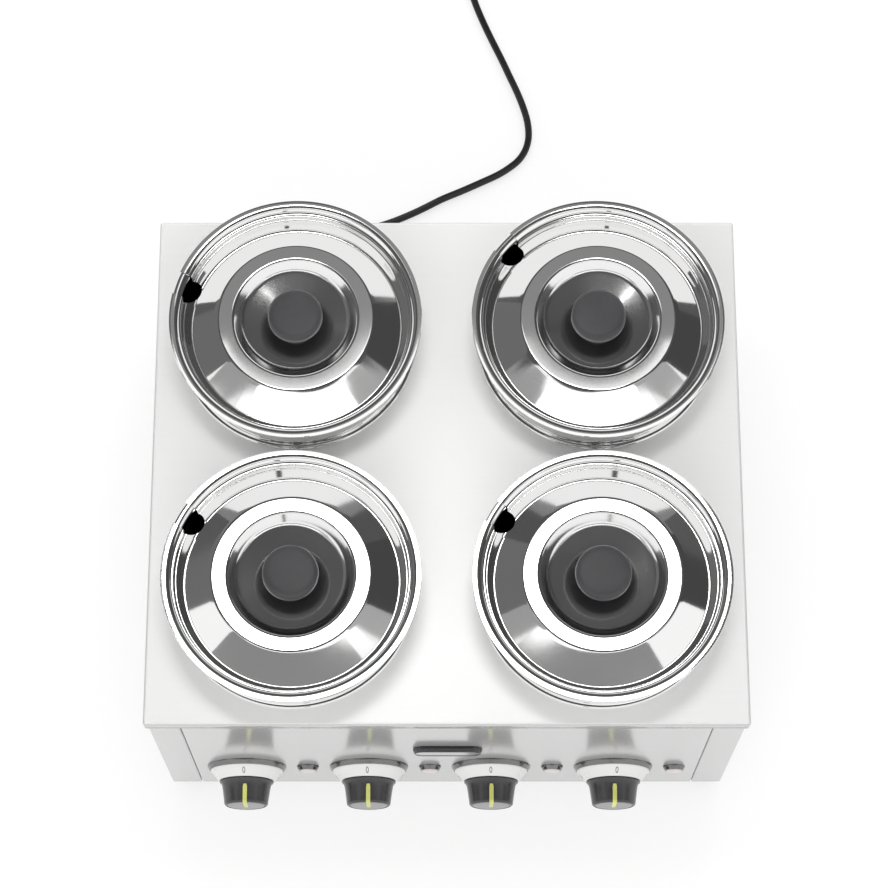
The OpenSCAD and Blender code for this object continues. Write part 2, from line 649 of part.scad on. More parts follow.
// Band along the pointer's line: over the front of the grip and across the face
module pointer_band(slack) {
    intersection() {
        rotate_extrude() difference() {
            polygon(concat(knob_face(0), [[0, skirt_h]]));
            polygon(concat(knob_face(pointer_depth + slack), [[0, skirt_h]]));
        }
        slab(-pointer_w/2 - slack, pointer_w/2 + slack, -pointer_past - slack, knob_skirt_r,
            pointer_start_h - slack, dial_reach + cut);
    }
}
pointer_slack = 0.05;
module dial_knob(i) color("#48494c") place() on_front(dial_x(i)) difference() {
    rotate_extrude() polygon(concat(
        [[0, spindle_h + spindle_gap], [spindle_r + spindle_gap, spindle_h + spindle_gap],
        [spindle_r + spindle_gap, knob_back_h], [knob_back_r, knob_back_h], [knob_back_r, skirt_h]],
        knob_face(0)));
    pointer_band(pointer_slack);
}
module pointer(i) color("#d9df7a") place() on_front(dial_x(i)) pointer_band(0);

module lamp_bezels() color("#3c3d40") place() for (i = [1:4]) on_front(lamp_x(i)) rotate_extrude($fn = 64)
    polygon([[lamp_in_r, 0], [lamp_r, 0], [lamp_r, lamp_side_h], [lamp_in_r + lamp_front_w, lamp_h],
        [lamp_in_r, lamp_h]]);

// Lens and barrel of each pilot lamp
LENS_OUTLINE = concat(
    [[0, -barrel_h], [barrel_r, -barrel_h], [barrel_r, fit_gap], [lens_r, fit_gap], [lens_r, lamp_h]],
    [for (i = [1:arc_steps]) let(a = 90*i/arc_steps) [lens_r*cos(a), lamp_h + (lens_h - lamp_h)*sin(a)]]
);
module pilot_lamps() color("#e3b3ac") place() for (i = [1:4]) on_front(lamp_x(i))
    rotate_extrude($fn = 64) polygon(LENS_OUTLINE);

// Blank badge with round ends
module badge() color("#3a3b3d") place() on_front(badge_x, foot_h + badge_h) {
    run = badge_w - badge_tall;
    translate([0, 0, badge_t/2]) cube([run, badge_tall, badge_t], center = true);
    for (m = [-1, 1]) translate([m*run/2, 0, 0]) cylinder(r = badge_tall/2, h = badge_t, $fn = 64);
}

// Feet under the base plate, hollowed for their screws
foot_hollow_gap = 1.6;
foot_hollow_r = foot_screw_head_r + foot_hollow_gap;
foot_web = 6;
foot_hollow_h = foot_h - foot_web;
foot_screw_run = 5;
module feet() color("#2a2a2c") place() for (p = FOOT_PLACES) translate([p.x, p.y, 0]) difference() {
    cylinder(r = foot_r, h = foot_h + sheet_t, $fn = 64);
    translate([0, 0, -cut]) cylinder(r = foot_hollow_r, h = foot_hollow_h + cut, $fn = 48);
    cylinder(r = foot_screw_r + hole_slack, h = foot_h + sheet_t + cut, $fn = 24);
}
module foot_screws() color("#9b9da0") place() for (p = FOOT_PLACES) translate([p.x, p.y, foot_hollow_h]) {
    translate([0, 0, -foot_screw_head_h]) cylinder(r = foot_screw_head_r, h = foot_screw_head_h, $fn = 48);
    cylinder(r = foot_screw_r, h = foot_web + foot_screw_run, $fn = 24);
}

module base_screws() color("#9b9da0") place() for (p = BASE_SCREWS) translate([p.x, p.y, foot_h]) {
    translate([0, 0, -base_screw_head_h]) cylinder(r = base_screw_head_r, h = base_screw_head_h, $fn = 32);
    cylinder(r = base_screw_r, h = 2*sheet_t + base_screw_r, $fn = 24);
}

// Terminal block on the base plate, beside the gland, with a wire hole through each pole
wire_r_share = 0.2;
wire_z_share = 0.35;
module terminal_block() color("#e4e1d6") place() difference() {
    block_x = -gland_left + block_w;
    block_y = panel_y - seam_fold - 2*block_d;
    pole_w = block_w/block_poles;
    translate([block_x - block_w/2, block_y, foot_h + 2*sheet_t]) cube([block_w, block_d, block_h]);
    for (i = [0:block_poles - 1]) {
        pole_x = block_x + (i - (block_poles - 1)/2)*pole_w;
        translate([pole_x, block_y - cut, foot_h + 2*sheet_t + wire_z_share*block_h]) rotate([-90, 0, 0])
            cylinder(r = wire_r_share*pole_w, h = block_d + 2*cut, $fn = 24);
    }
}

// Gland: collars on both sides of the rear panel and a tapered strain relief
module cable_gland() color("#1c1c1e") place() translate([-gland_left, panel_y, gland_z]) rotate([-90, 0, 0]) {
    cylinder(r = gland_r, h = gland_collar_h, $fn = 64);
    translate([0, 0, -sheet_t - gland_collar_h]) cylinder(r = gland_r, h = gland_collar_h, $fn = 64);
    translate([0, 0, -sheet_t - gland_collar_h/2])
        cylinder(r = gland_neck_r, h = sheet_t + gland_collar_h, $fn = 64);
    translate([0, 0, gland_collar_h]) cylinder(r1 = relief_r, r2 = relief_tip_r, h = relief_h, $fn = 64);
}

module cord() color("#161617") place() tube(CORD_PATH, cord_r, cord_sides);

// Middle of the coil's cord after t turns, wound clockwise from its left side
function coil_radius(t) = coil_r - coil_step*(t < coil_turn_mid ? t : 2*coil_turn_mid - t);
function coil_height(t) = cord_r + coil_step*smooth((t - coil_turn_in)/coil_half_turn);
function coil_point(t) =
    [coil_c.x - coil_radius(t)*cos(360*t), coil_c.y + coil_radius(t)*sin(360*t), coil_height(t)];
coil_end = coil_point(coil_turns);
tail_z = plug_z - coil_end.z;
TAIL = [for (i = [1:tail_steps]) let(s = i/tail_steps) coil_end + [s*tail_run, 0, tail_z*smooth(s)]];
tail_end = coil_end + [tail_run + cord_d, 0, tail_z];
COIL_PATH = concat([cord_end], [for (i = [0:coil_rings*coil_turns]) coil_point(i/coil_rings)], TAIL, [tail_end]);
module cord_coil() color("#161617") place() tube(COIL_PATH, cord_r, coil_sides);

// Length of a path, and the least gap between the coil's turns
function path_length(p) = len(p) < 2 ? 0 : [for (i = [1:len(p) - 1]) norm(p[i] - p[i - 1])]
    *[for (i = [1:len(p) - 1]) 1];
gap_samples = 60;
turn_points = [for (i = [0:gap_samples*coil_turns]) coil_point(i/gap_samples)];
least_gap = min([for (i = [0:len(turn_points) - 1], j = [i + gap_samples/2:len(turn_points) - 1])
    norm(turn_points[i] - turn_points[j])]) - cord_d;
echo(least_gap_of_the_coil_to_itself = least_gap);
echo(cord_length = path_length(CORD_PATH), coil_length = path_length(COIL_PATH));

// Plug lying beside the coil: strain relief, shoulder and round face
plug_relief_h = 20;
plug_shoulder_h = plug_h/2;
plug_neck_r = 9;
module at_plug() place() translate(tail_end) rotate([0, 90, 0]) children();
module plug() color("#161617") at_plug() {
    cylinder(r1 = relief_tip_r, r2 = relief_r, h = plug_relief_h, $fn = 64);
    translate([0, 0, plug_relief_h]) cylinder(r1 = plug_neck_r, r2 = plug_r, h = plug_shoulder_h, $fn = 64);
    translate([0, 0, plug_relief_h + plug_shoulder_h])
        cylinder(r = plug_r, h = plug_h - plug_shoulder_h, $fn = 64);
}
module plug_pins() color("#c8c9ca") at_plug() for (m = [-1, 1])
    translate([0, m*pin_pitch/2, plug_relief_h + plug_h]) cylinder(r = pin_r, h = pin_h, $fn = 32);

deck();
side_panel_left();
side_panel_right();
front_panel();
rear_panel();
base_plate();
well(REAR_LEFT);  // well_rear_left
well(REAR_RIGHT);  // well_rear_right
well(FRONT_LEFT);  // well_front_left
well(FRONT_RIGHT);  // well_front_right
heater(REAR_LEFT);  // heater_rear_left
heater(REAR_RIGHT);  // heater_rear_right
heater(FRONT_LEFT);  // heater_front_left
heater(FRONT_RIGHT);  // heater_front_right
pot(REAR_LEFT);  // pot_rear_left
pot(REAR_RIGHT);  // pot_rear_right
pot(FRONT_LEFT);  // pot_front_left
pot(FRONT_RIGHT);  // pot_front_right
lid(REAR_LEFT, LID_TURNS[0]);  // lid_rear_left
lid(REAR_RIGHT, LID_TURNS[1]);  // lid_rear_right
lid(FRONT_LEFT, LID_TURNS[2]);  // lid_front_left
lid(FRONT_RIGHT, LID_TURNS[3]);  // lid_front_right
lid_knob(REAR_LEFT);  // lid_knob_rear_left
lid_knob(REAR_RIGHT);  // lid_knob_rear_right
lid_knob(FRONT_LEFT);  // lid_knob_front_left
lid_knob(FRONT_RIGHT);  // lid_knob_front_right
lid_screw(REAR_LEFT);  // lid_screw_rear_left
lid_screw(REAR_RIGHT);  // lid_screw_rear_right
lid_screw(FRONT_LEFT);  // lid_screw_front_left
lid_screw(FRONT_RIGHT);  // lid_screw_front_right
thermostat(1);  // thermostat_1
thermostat(2);  // thermostat_2
thermostat(3);  // thermostat_3
thermostat(4);  // thermostat_4
spindle(1);  // spindle_1
spindle(2);  // spindle_2
spindle(3);  // spindle_3
spindle(4);  // spindle_4
dial_knob(1);  // dial_knob_1
dial_knob(2);  // dial_knob_2
dial_knob(3);  // dial_knob_3
dial_knob(4);  // dial_knob_4
pointer(1);  // pointer_1
pointer(2);  // pointer_2
pointer(3);  // pointer_3
pointer(4);  // pointer_4
dial_bezels();
scale_rings();
lamp_bezels();
pilot_lamps();
badge();
feet();
foot_screws();
base_screws();
terminal_block();
cable_gland();
cord();
cord_coil();
plug();
plug_pins();
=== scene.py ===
import math

import bmesh
import bpy
from mathutils import Matrix, Vector, geometry


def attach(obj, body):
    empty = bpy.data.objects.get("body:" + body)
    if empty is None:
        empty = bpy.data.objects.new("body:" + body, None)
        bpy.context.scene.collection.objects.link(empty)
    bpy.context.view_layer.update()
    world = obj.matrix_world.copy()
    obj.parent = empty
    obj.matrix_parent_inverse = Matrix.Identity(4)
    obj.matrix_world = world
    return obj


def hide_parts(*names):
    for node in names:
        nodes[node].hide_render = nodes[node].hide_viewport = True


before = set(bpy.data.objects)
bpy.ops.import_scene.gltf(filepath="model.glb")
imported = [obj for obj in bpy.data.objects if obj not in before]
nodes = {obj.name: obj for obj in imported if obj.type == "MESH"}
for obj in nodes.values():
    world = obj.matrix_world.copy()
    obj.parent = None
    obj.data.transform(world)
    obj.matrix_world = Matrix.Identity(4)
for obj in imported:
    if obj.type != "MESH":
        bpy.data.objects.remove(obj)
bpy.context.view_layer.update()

# Lengths are millimetres until MM turns them into metres. Places across the deck are counted from its
# middle, which lies SHIFT_Y behind the frame's origin. DECK and PANEL are half widths and half depths.
MM = 0.001
SHIFT_Y = 17.25
SHEET = 1.0
DECK = (260.0, 233.0)
DECK_Z = 262.0
PANEL = (257.5, 230.5)
PANEL_Z = (12.0, 261.0)
FACE_Y = SHIFT_Y - PANEL[1]
POT_X = 133.0
POT_Y = {"rear": 121.0, "front": -113.0}
RIM_H = 50.0

# Place of each pot, and the turn of its lid's notch in degrees
PLACES = {
    "rear_left": (-POT_X, POT_Y["rear"], 162.7),
    "rear_right": (POT_X, POT_Y["rear"], 139.5),
    "front_left": (-POT_X, POT_Y["front"], 150.4),
    "front_right": (POT_X, POT_Y["front"], 149.3),
}

# Dials and lamps in a row on the front, each lamp half a pitch to the right of its dial
DIAL_Z = 81.4
DIAL_PITCH = 111.8
DIAL_X = [-183.0 + DIAL_PITCH * i for i in range(4)]
LAMP_X = [x + DIAL_PITCH / 2 for x in DIAL_X]


def in_metres(x, y, z):
    return (x * MM, (y + SHIFT_Y) * MM, z * MM)


# Camera at the photograph's place, with its tilt down from level in degrees and its clipping in metres
CAMERA_PLACE = (-2.454, -750.175, 2549.914)
CAMERA_TILT = 71.387
FOCAL_LENGTH = 110.79
SENSOR_W = 36.0
CLIP_NEAR, CLIP_FAR = 0.05, 60.0


def make_camera():
    data = bpy.data.cameras.new("photo_camera")
    data.sensor_width = SENSOR_W
    data.lens = FOCAL_LENGTH
    data.clip_start = CLIP_NEAR
    data.clip_end = CLIP_FAR
    camera = bpy.data.objects.new("photo_camera", data)
    camera.location = in_metres(*CAMERA_PLACE)
    camera.rotation_euler = (math.radians(90.0 - CAMERA_TILT), 0.0, 0.0)
    bpy.context.scene.collection.objects.link(camera)
    bpy.context.scene.camera = camera


make_camera()


# Materials
def srgb(hexa):
    """A colour written as six hexadecimal digits, in the linear values that nodes take."""
    out = []
    for i in (0, 2, 4):
        c = int(hexa[i:i + 2], 16) / 255
        out.append(c / 12.92 if c <= 0.04045 else ((c + 0.055) / 1.055) ** 2.4)
    return (*out, 1.0)


def grey(value, warm=0.0):
    return (value * (1 + warm), value, value * (1 - warm), 1.0)


def times(color, factor):
    return tuple(min(1.0, c * factor) for c in color[:3]) + (1.0,)


class Nodes:
    """Shorthand for a material's node tree."""

    SOCKETS = {"color": "Base Color", "metal": "Metallic", "rough": "Roughness", "normal": "Normal",
               "spec": "Specular IOR Level", "coat": "Coat Weight", "coat_rough": "Coat Roughness",
               "sss": "Subsurface Weight"}

    def __init__(self, name):
        self.mat = bpy.data.materials.new(name)
        self.mat.use_nodes = True
        self.tree = self.mat.node_tree
        self.bsdf = self.tree.nodes["Principled BSDF"]
        self.out = self.tree.nodes["Material Output"]

    def add(self, kind, inputs=None, **props):
        node = self.tree.nodes.new("ShaderNode" + kind)
        for key, value in props.items():
            setattr(node, key, value)
        for key, value in (inputs or {}).items():
            self.put(node, key, value)
        return node

    def put(self, node, key, value):
        if isinstance(value, bpy.types.NodeSocket):
            self.tree.links.new(value, node.inputs[key])
        else:
            node.inputs[key].default_value = value

    def set(self, **values):
        for key, value in values.items():
            self.put(self.bsdf, self.SOCKETS[key], value)

    def noise(self, scale, detail, rough=0.5):
        """Noise over the piece, its scale given for each axis or once for all three."""
        scales = scale if isinstance(scale, tuple) else (scale, scale, scale)
        spot = self.add("Mapping", {"Vector": self.add("TexCoord").outputs["Object"], "Scale": scales})
        inputs = {"Vector": spot.outputs[0], "Scale": 1.0, "Detail": detail, "Roughness": rough}
        return self.add("TexNoise", inputs).outputs["Fac"]

    def span(self, fac, low, high, start=0.3, end=0.7):
        """Values from low to high while fac goes from start to end."""
        return self.add("MapRange", {0: fac, 1: start, 2: end, 3: low, 4: high}).outputs[0]

    def ramp(self, fac, stops):
        node = self.add("ValToRGB", {"Fac": fac})
        elements = node.color_ramp.elements
        while len(elements) < len(stops):
            elements.new(0.5)
        for element, (position, color) in zip(elements, stops):
            element.position = position
            element.color = color
        return node.outputs["Color"]

    def math(self, operation, a, b):
        return self.add("Math", {0: a, 1: b}, operation=operation).outputs[0]

    def bump(self, height, strength, distance):
        inputs = {"Height": height, "Strength": strength, "Distance": distance}
        return self.add("Bump", inputs).outputs[0]


# Scales of the fine and the wide streaks, along the brushing and across it
STREAK_SCALES = ((6, 900), (3, 320))


def brushed(name, tone, rough, streak, along="x", spread=0.08, relief=0.04, metal=1.0):
    """Satin metal, brushed along one axis: long fine streaks in tone, roughness and relief."""
    m = Nodes(name)
    fine, wide = [tuple(run if axis == along else cross for axis in "xyz") for run, cross in STREAK_SCALES]
    lines = m.noise(fine, 3.0, 0.6)
    bands = m.noise(wide, 2.0)
    cloud = m.noise(3, 2.0)
    streaks = m.math("ADD", m.math("MULTIPLY", lines, 0.6), m.math("MULTIPLY", bands, 0.4))
    gloss = m.span(streaks, rough - spread, rough + spread, 0.25, 0.75)
    tones = [(0.25, grey(tone - streak, 0.004)), (0.75, grey(tone + streak, 0.004))]
    m.set(color=m.ramp(streaks, tones), metal=metal, normal=m.bump(lines, relief, 0.0002),
          rough=m.math("ADD", gloss, m.span(cloud, -0.02, 0.02)))
    return m.mat


def polished(name, tone, rough, relief=0.03):
    """Mirror-polished steel with faint wiping marks and fine specks."""
    m = Nodes(name)
    smear = m.noise(7, 4.0, 0.6)
    specks = m.noise(420, 2.0)
    tones = [(0.3, grey(tone - 0.012, 0.003)), (0.7, grey(tone + 0.008, 0.003))]
    gloss = m.span(smear, rough * 0.6, rough * 1.5)
    m.set(color=m.ramp(smear, tones), metal=1.0, normal=m.bump(specks, relief, 0.00004),
          rough=m.math("ADD", gloss, m.span(specks, 0.0, 0.012, 0.45, 0.75)))
    return m.mat


def plastic(name, color, rough, grain=0.25, scale=900, spec=0.5, coat=0.0, vary=0.15):
    """Moulded plastic with a fine grain and a slightly uneven tone and gloss."""
    m = Nodes(name)
    grains = m.noise(scale, 3.0, 0.6)
    wear = m.noise(35, 3.0, 0.55)
    m.set(color=m.ramp(wear, [(0.3, times(color, 1 - vary)), (0.7, times(color, 1 + vary))]), spec=spec,
          rough=m.span(wear, rough - 0.05, rough + 0.06), normal=m.bump(grains, grain, 0.00006))
    if coat:
        m.set(coat=coat, coat_rough=0.08)
    return m.mat


def cast(name, color, rough, grain=0.3, scale=260):
    """Metal with a cast grain and darker patches."""
    m = Nodes(name)
    grains = m.noise(scale, 4.0, 0.6)
    patches = m.noise(18, 3.0, 0.6)
    m.set(color=m.ramp(patches, [(0.3, times(color, 0.82)), (0.7, color)]), metal=1.0,
          rough=m.span(grains, rough - 0.07, rough + 0.09), normal=m.bump(grains, grain, 0.00012))
    return m.mat


def heat_tinted(name):
    """Steel that heat has turned brown, straw and blue in patches."""
    m = Nodes(name)
    patches = m.noise(26, 4.0, 0.6)
    tints = [(0.25, srgb("5a4f49")), (0.5, srgb("7d6a55")), (0.75, srgb("6c6f7c"))]
    m.set(color=m.ramp(patches, tints), metal=1.0, rough=m.span(patches, 0.3, 0.5),
          normal=m.bump(patches, 0.15, 0.0002))
    return m.mat


def lens_pink(name):
    """Pale red lens that light enters a little."""
    m = Nodes(name)
    haze = m.noise(300, 2.0)
    m.set(color=m.ramp(haze, [(0.3, srgb("d6c6c4")), (0.7, srgb("e2d5d3"))]), rough=0.22, spec=0.5,
          sss=0.1, coat=0.5, coat_rough=0.05, normal=m.bump(haze, 0.1, 0.0001))
    m.bsdf.inputs["Subsurface Radius"].default_value = (0.004, 0.0015, 0.001)
    m.bsdf.inputs["Subsurface Scale"].default_value = 1.0
    return m.mat


def sheath(name):
    """Rubbery cord sheath with a fine grain, lightly dusted."""
    m = Nodes(name)
    grains = m.noise(700, 3.0, 0.6)
    dust = m.noise(30, 3.0, 0.6)
    m.set(color=m.ramp(dust, [(0.3, grey(0.010)), (0.75, grey(0.02))]), spec=0.42,
          rough=m.span(dust, 0.42, 0.56), normal=m.bump(grains, 0.25, 0.00008))
    return m.mat


MAT = {
    # One steel given twice: the pale, less metallic deck steel is painted light on faces that look up, and
    # the darker panel steel is painted shade on upright faces
    "deck": brushed("deck_steel", tone=0.94, rough=0.38, streak=0.012, spread=0.02, relief=0.012,
                    metal=0.28),
    "panel": brushed("panel_steel", tone=0.60, rough=0.17, streak=0.008, spread=0.03, relief=0.012,
                     metal=0.45),
    "base": brushed("base_steel", tone=0.62, rough=0.36, streak=0.03),
    "well": brushed("well_aluminium", tone=0.66, rough=0.34, streak=0.03, along="z"),
    "heater": heat_tinted("heater_steel"),
    "pot": polished("pot_steel", tone=0.88, rough=0.045),
    "lid": polished("lid_steel", tone=0.91, rough=0.055, relief=0.02),
    "dish": polished("lid_dish_steel", tone=0.88, rough=0.12, relief=0.04),
    "lid_knob": plastic("knob_black", srgb("434345"), rough=0.44, grain=0.3, scale=1100),
    "screw": cast("screw_steel", grey(0.55), rough=0.32, grain=0.12, scale=500),
    "stat": cast("thermostat_case", grey(0.5), rough=0.4),
    "dial": plastic("dial_grey", srgb("434244"), rough=0.24, grain=0.2, scale=1200),
    "face": plastic("dial_face_grey", srgb("979597"), rough=0.34, scale=1200),
    "pointer": plastic("pointer_yellow", srgb("dde07c"), rough=0.38, grain=0.1),
    "bezel": cast("bezel_chrome", grey(0.24), rough=0.21, grain=0.05, scale=400),
    "scale": plastic("scale_white", srgb("f2f2f0"), rough=0.3, grain=0.08, vary=0.02),
    "ink": plastic("scale_ink", srgb("47484a"), rough=0.5, grain=0.05),
    "lens": lens_pink("lamp_lens"),
    "badge": plastic("badge_black", srgb("2b2c2e"), rough=0.25, grain=0.06, coat=0.5),
    "badge_face": brushed("badge_face", tone=0.6, rough=0.3, streak=0.02),
    "foot": plastic("foot_rubber", grey(0.03), rough=0.6, grain=0.4, scale=500, spec=0.35),
    "block": plastic("block_plastic", srgb("e4e1d6"), rough=0.4, grain=0.15, scale=700),
    "plug": plastic("plug_black", grey(0.018), rough=0.42, grain=0.3, spec=0.45),
    "cord": sheath("cord_black"),
    "pin": cast("pin_nickel", grey(0.62, 0.02), rough=0.22, grain=0.05, scale=500),
}


def dress(name, mat):
    """Gives a CAD node one of the materials."""
    materials = nodes[name].data.materials
    materials.clear()
    materials.append(MAT[mat])


# Mesh helpers
SHARP_ANGLE = 35.0
AXIS_R = 1e-6


def finish_mesh(name, bm, *mats, angle=SHARP_ANGLE, smooth=True):
    bmesh.ops.recalc_face_normals(bm, faces=bm.faces)
    mesh = bpy.data.meshes.new(name)
    bm.to_mesh(mesh)
    bm.free()
    if smooth:
        mesh.shade_smooth()
        mesh.set_sharp_from_angle(angle=math.radians(angle))
    obj = bpy.data.objects.new(name, mesh)
    bpy.context.scene.collection.objects.link(obj)
    for mat in mats:
        mesh.materials.append(MAT[mat])
    return obj


def polar(r, angle):
    return (r * math.cos(angle), r * math.sin(angle))


def circle(r, segments):
    return [polar(r, 2 * math.pi * k / segments) for k in range(segments)]


def arc(cx, cz, r, start, end, steps):
    """Points round (cx, cz) from one angle to another, both in degrees."""
    points = [polar(r, math.radians(start + (end - start) * i / steps)) for i in range(steps + 1)]
    return [(cx + x, cz + z) for x, z in points]


def add_turned(bm, profile, segments, to):
    """Turns (radius, height) points about the local Z, and puts the result in place by the matrix to."""
    rings = []
    for r, z in profile:
        points = [(0, 0)] if r < AXIS_R else circle(r, segments)
        rings.append([bm.verts.new(MM * (to @ Vector((x, y, z)))) for x, y in points])
    for a, b in zip(rings, rings[1:]):
        for k in range(segments):
            n = (k + 1) % segments
            quad = [a[k % len(a)], a[n % len(a)], b[n % len(b)], b[k % len(b)]]
            corners = list(dict.fromkeys(quad))
            if len(corners) > 2:
                bm.faces.new(corners)


def lathe(name, profile, segments, mat, *places, angle=SHARP_ANGLE):
    """One piece, with the turned profile at each of the places."""
    bm = bmesh.new()
    for to in places:
        add_turned(bm, profile, segments, to)
    return finish_mesh(name, bm, mat, angle=angle)


def skin(bm, loops):
    """Faces between stacked closed loops of points, each with as many points as the next."""
    rows = [[bm.verts.new(MM * Vector(p)) for p in loop] for loop in loops]
    for a, b in zip(rows, rows[1:]):
        n = len(a)
        for k in range(n):
            bm.faces.new((a[k], a[(k + 1) % n], b[(k + 1) % n], b[k]))
    return rows


def at(x, y, z):
    return Matrix.Translation((x, y + SHIFT_Y, z))


def on_front(x, z=DIAL_Z):
    """Local Z points out of the front panel, local Y up."""
    return Matrix.Translation((x, FACE_Y, z)) @ Matrix.Rotation(math.radians(90), 4, "X")


def place(obj, body, *replaced, slot):
    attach(obj, body)
    if replaced:
        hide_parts(*replaced)
    return obj


# Mains cord: its listed route from the gland to the coil, then two layers of turns and a rise to the plug
CORD_D = 7.0
CORD_STEPS, CORD_SIDES = 3, 5
ROUTE = [
    (-150, 262.5, 40),
    (-150, 270, 40), (-149, 284, 38), (-146, 297, 31), (-139, 309, 21), (-129, 318, 12),
    (-115, 325, 6), (-98, 331, 3.5), (-76, 337, 3.5), (-53, 345, 3.5), (-29, 356, 3.5),
    (-5, 369, 3.5), (15, 378, 3.5), (36, 388, 3.5), (52, 396, 3.5), (64, 404, 3.5),
    (74, 413, 3.5), (81, 425, 3.5), (84, 439, 3.5), (83, 455, 3.5), (79, 471, 3.5),
    (73, 488, 3.5), (65, 507, 3.5), (57, 526, 3.5), (48, 546, 3.5), (39, 567, 3.5),
    (31, 588, 3.5), (25, 608, 3.5), (20, 628, 3.5), (17, 646, 3.5),
]
COIL_C, COIL_R, COIL_STEP = (62, 668), 46, 7.6
COIL_TURNS, TURN_POINTS = 4.25, 24
LAYER_TURNS, CLIMB_TURNS = 2, 0.5
INNER_TURN = LAYER_TURNS + CLIMB_TURNS / 2
PLUG_Z = 17
RISE_RUN, RISE_STEPS = 44, 6


def smooth(t):
    s = min(max(t, 0.0), 1.0)
    return s * s * (3 - 2 * s)


def coil_point(t):
    """Point of the coil after t turns: inwards on the counter, then outwards one layer up."""
    r = COIL_R - COIL_STEP * (t if t < INNER_TURN else 2 * INNER_TURN - t)
    z = CORD_D / 2 + COIL_STEP * smooth((t - LAYER_TURNS) / CLIMB_TURNS)
    x, y = polar(r, 2 * math.pi * t)
    return (COIL_C[0] - x, COIL_C[1] + y, z)


def cord_route():
    points = ROUTE + [(COIL_C[0] - COIL_R, COIL_C[1] - CORD_D, CORD_D / 2)]
    points += [coil_point(i / TURN_POINTS) for i in range(int(TURN_POINTS * COIL_TURNS) + 1)]
    x, y, z = points[-1]
    rise = PLUG_Z - z
    points += [(x + RISE_RUN * i / RISE_STEPS, y, z + rise * smooth(i / RISE_STEPS))
               for i in range(1, RISE_STEPS + 1)]
    points.append((x + RISE_RUN + CORD_D, y, PLUG_Z))
    return [in_metres(*p) for p in points]


def make_cord():
    points = cord_route()
    curve = bpy.data.curves.new("mains_cord", "CURVE")
    curve.dimensions = "3D"
    curve.bevel_depth = CORD_D / 2 * MM
    curve.bevel_resolution = CORD_SIDES
    curve.resolution_u = CORD_STEPS
    knots = curve.splines.new("BEZIER").bezier_points
    knots.add(len(points) - 1)
    for i, knot in enumerate(knots):
        here = Vector(points[i])
        before = Vector(points[max(i - 1, 0)])
        after = Vector(points[min(i + 1, len(points) - 1)])
        # An end has no neighbour on one side, and its handle is a third of the other side's step
        reach = min((here - before).length or 1, (after - here).length or 1) / 3
        along = (after - before).normalized() * reach
        knot.co = here
        knot.handle_left = here - along
        knot.handle_right = here + along
    obj = bpy.data.objects.new("mains_cord", curve)
    curve.materials.append(MAT["cord"])
    bpy.context.scene.collection.objects.link(obj)
    length = sum(math.dist(a, b) for a, b in zip(points, points[1:]))
    place(obj, "housing", "cord", "cord_coil", slot="cord_black")
    return obj, points, length


cord, cord_points, cord_length = make_cord()

# Gland at the rear panel and round two-pin plug, both with ribbed sleeves
RIB_PITCH = 3.6
GLAND_X, GLAND_Z = ROUTE[0][0], ROUTE[0][2]
PIN_OFFSET = 9.5


def ribs(count, first, foot, top, shape):
    """Ribs of one shape along a sleeve that tapers from foot to top, both (radius, height)."""
    out = []
    for i in range(count):
        z = first + i * RIB_PITCH
        r = foot[0] + (top[0] - foot[0]) * (z - foot[1]) / (top[1] - foot[1])
        out += [(r + dr, z + dz) for dr, dz in shape]
    return out


GLAND_PROFILE = ([(0, 0), (12.4, 0), (13, 0.6), (13, 3.4), (12.4, 4), (7.5, 4)]
                 + ribs(7, 5, (7.5, 4), (4.6, 32), [(0, 0), (0, 2.0), (-1.3, 2.3), (-1.4, 3.3)])
                 + [(4.7, 31.0), (4.6, 32), (3.4, 32)])
NUT_PROFILE = [(0, -5), (13, -5), (13, -1), (8, -1), (8, 0)]
PLUG_PROFILE = ([(3.4, 0), (4.6, 0)]
                + ribs(5, 1.5, (4.6, 0), (7.5, 20), [(0, 0), (0, 2.2), (-1.2, 2.5), (-1.2, 3.4)])
                + [(8.6, 20), (9.2, 20.6), (10.5, 23), (13.4, 28), (15.9, 33), (16.8, 35.2), (17, 36.6)]
                + [(17, 48.6)] + arc(15.6, 48.6, 1.4, 0, 90, 4)[1:] + [(0, 50)])
PIN_PROFILE = [(0, 50), (2.4, 50), (2.4, 67.6)] + arc(1.2, 67.8, 1.2, 0, 90, 4) + [(0, 69)]

to_rear = at(GLAND_X, PANEL[1], GLAND_Z) @ Matrix.Rotation(math.radians(-90), 4, "X")
gland = lathe("cable_gland_relief", GLAND_PROFILE, 64, "plug", to_rear)
nut = lathe("cable_gland_nut", NUT_PROFILE, 6, "plug", to_rear)
place(gland, "housing", "cable_gland", slot="plug_black")
place(nut, "housing", slot="plug_black")

cord_end = tuple(c / MM for c in cord_points[-1])
to_plug = Matrix.Translation(cord_end) @ Matrix.Rotation(math.radians(90), 4, "Y")
to_pins = [to_plug @ Matrix.Translation((0, y, 0)) for y in (-PIN_OFFSET, PIN_OFFSET)]
plug = lathe("mains_plug", PLUG_PROFILE, 72, "plug", to_plug)
place(plug, "housing", "plug", slot="plug_black")
plug_pins = lathe("plug_pin_pair", PIN_PROFILE, 32, "pin", *to_pins)
place(plug_pins, "housing", "plug_pins", slot="pin_brass")


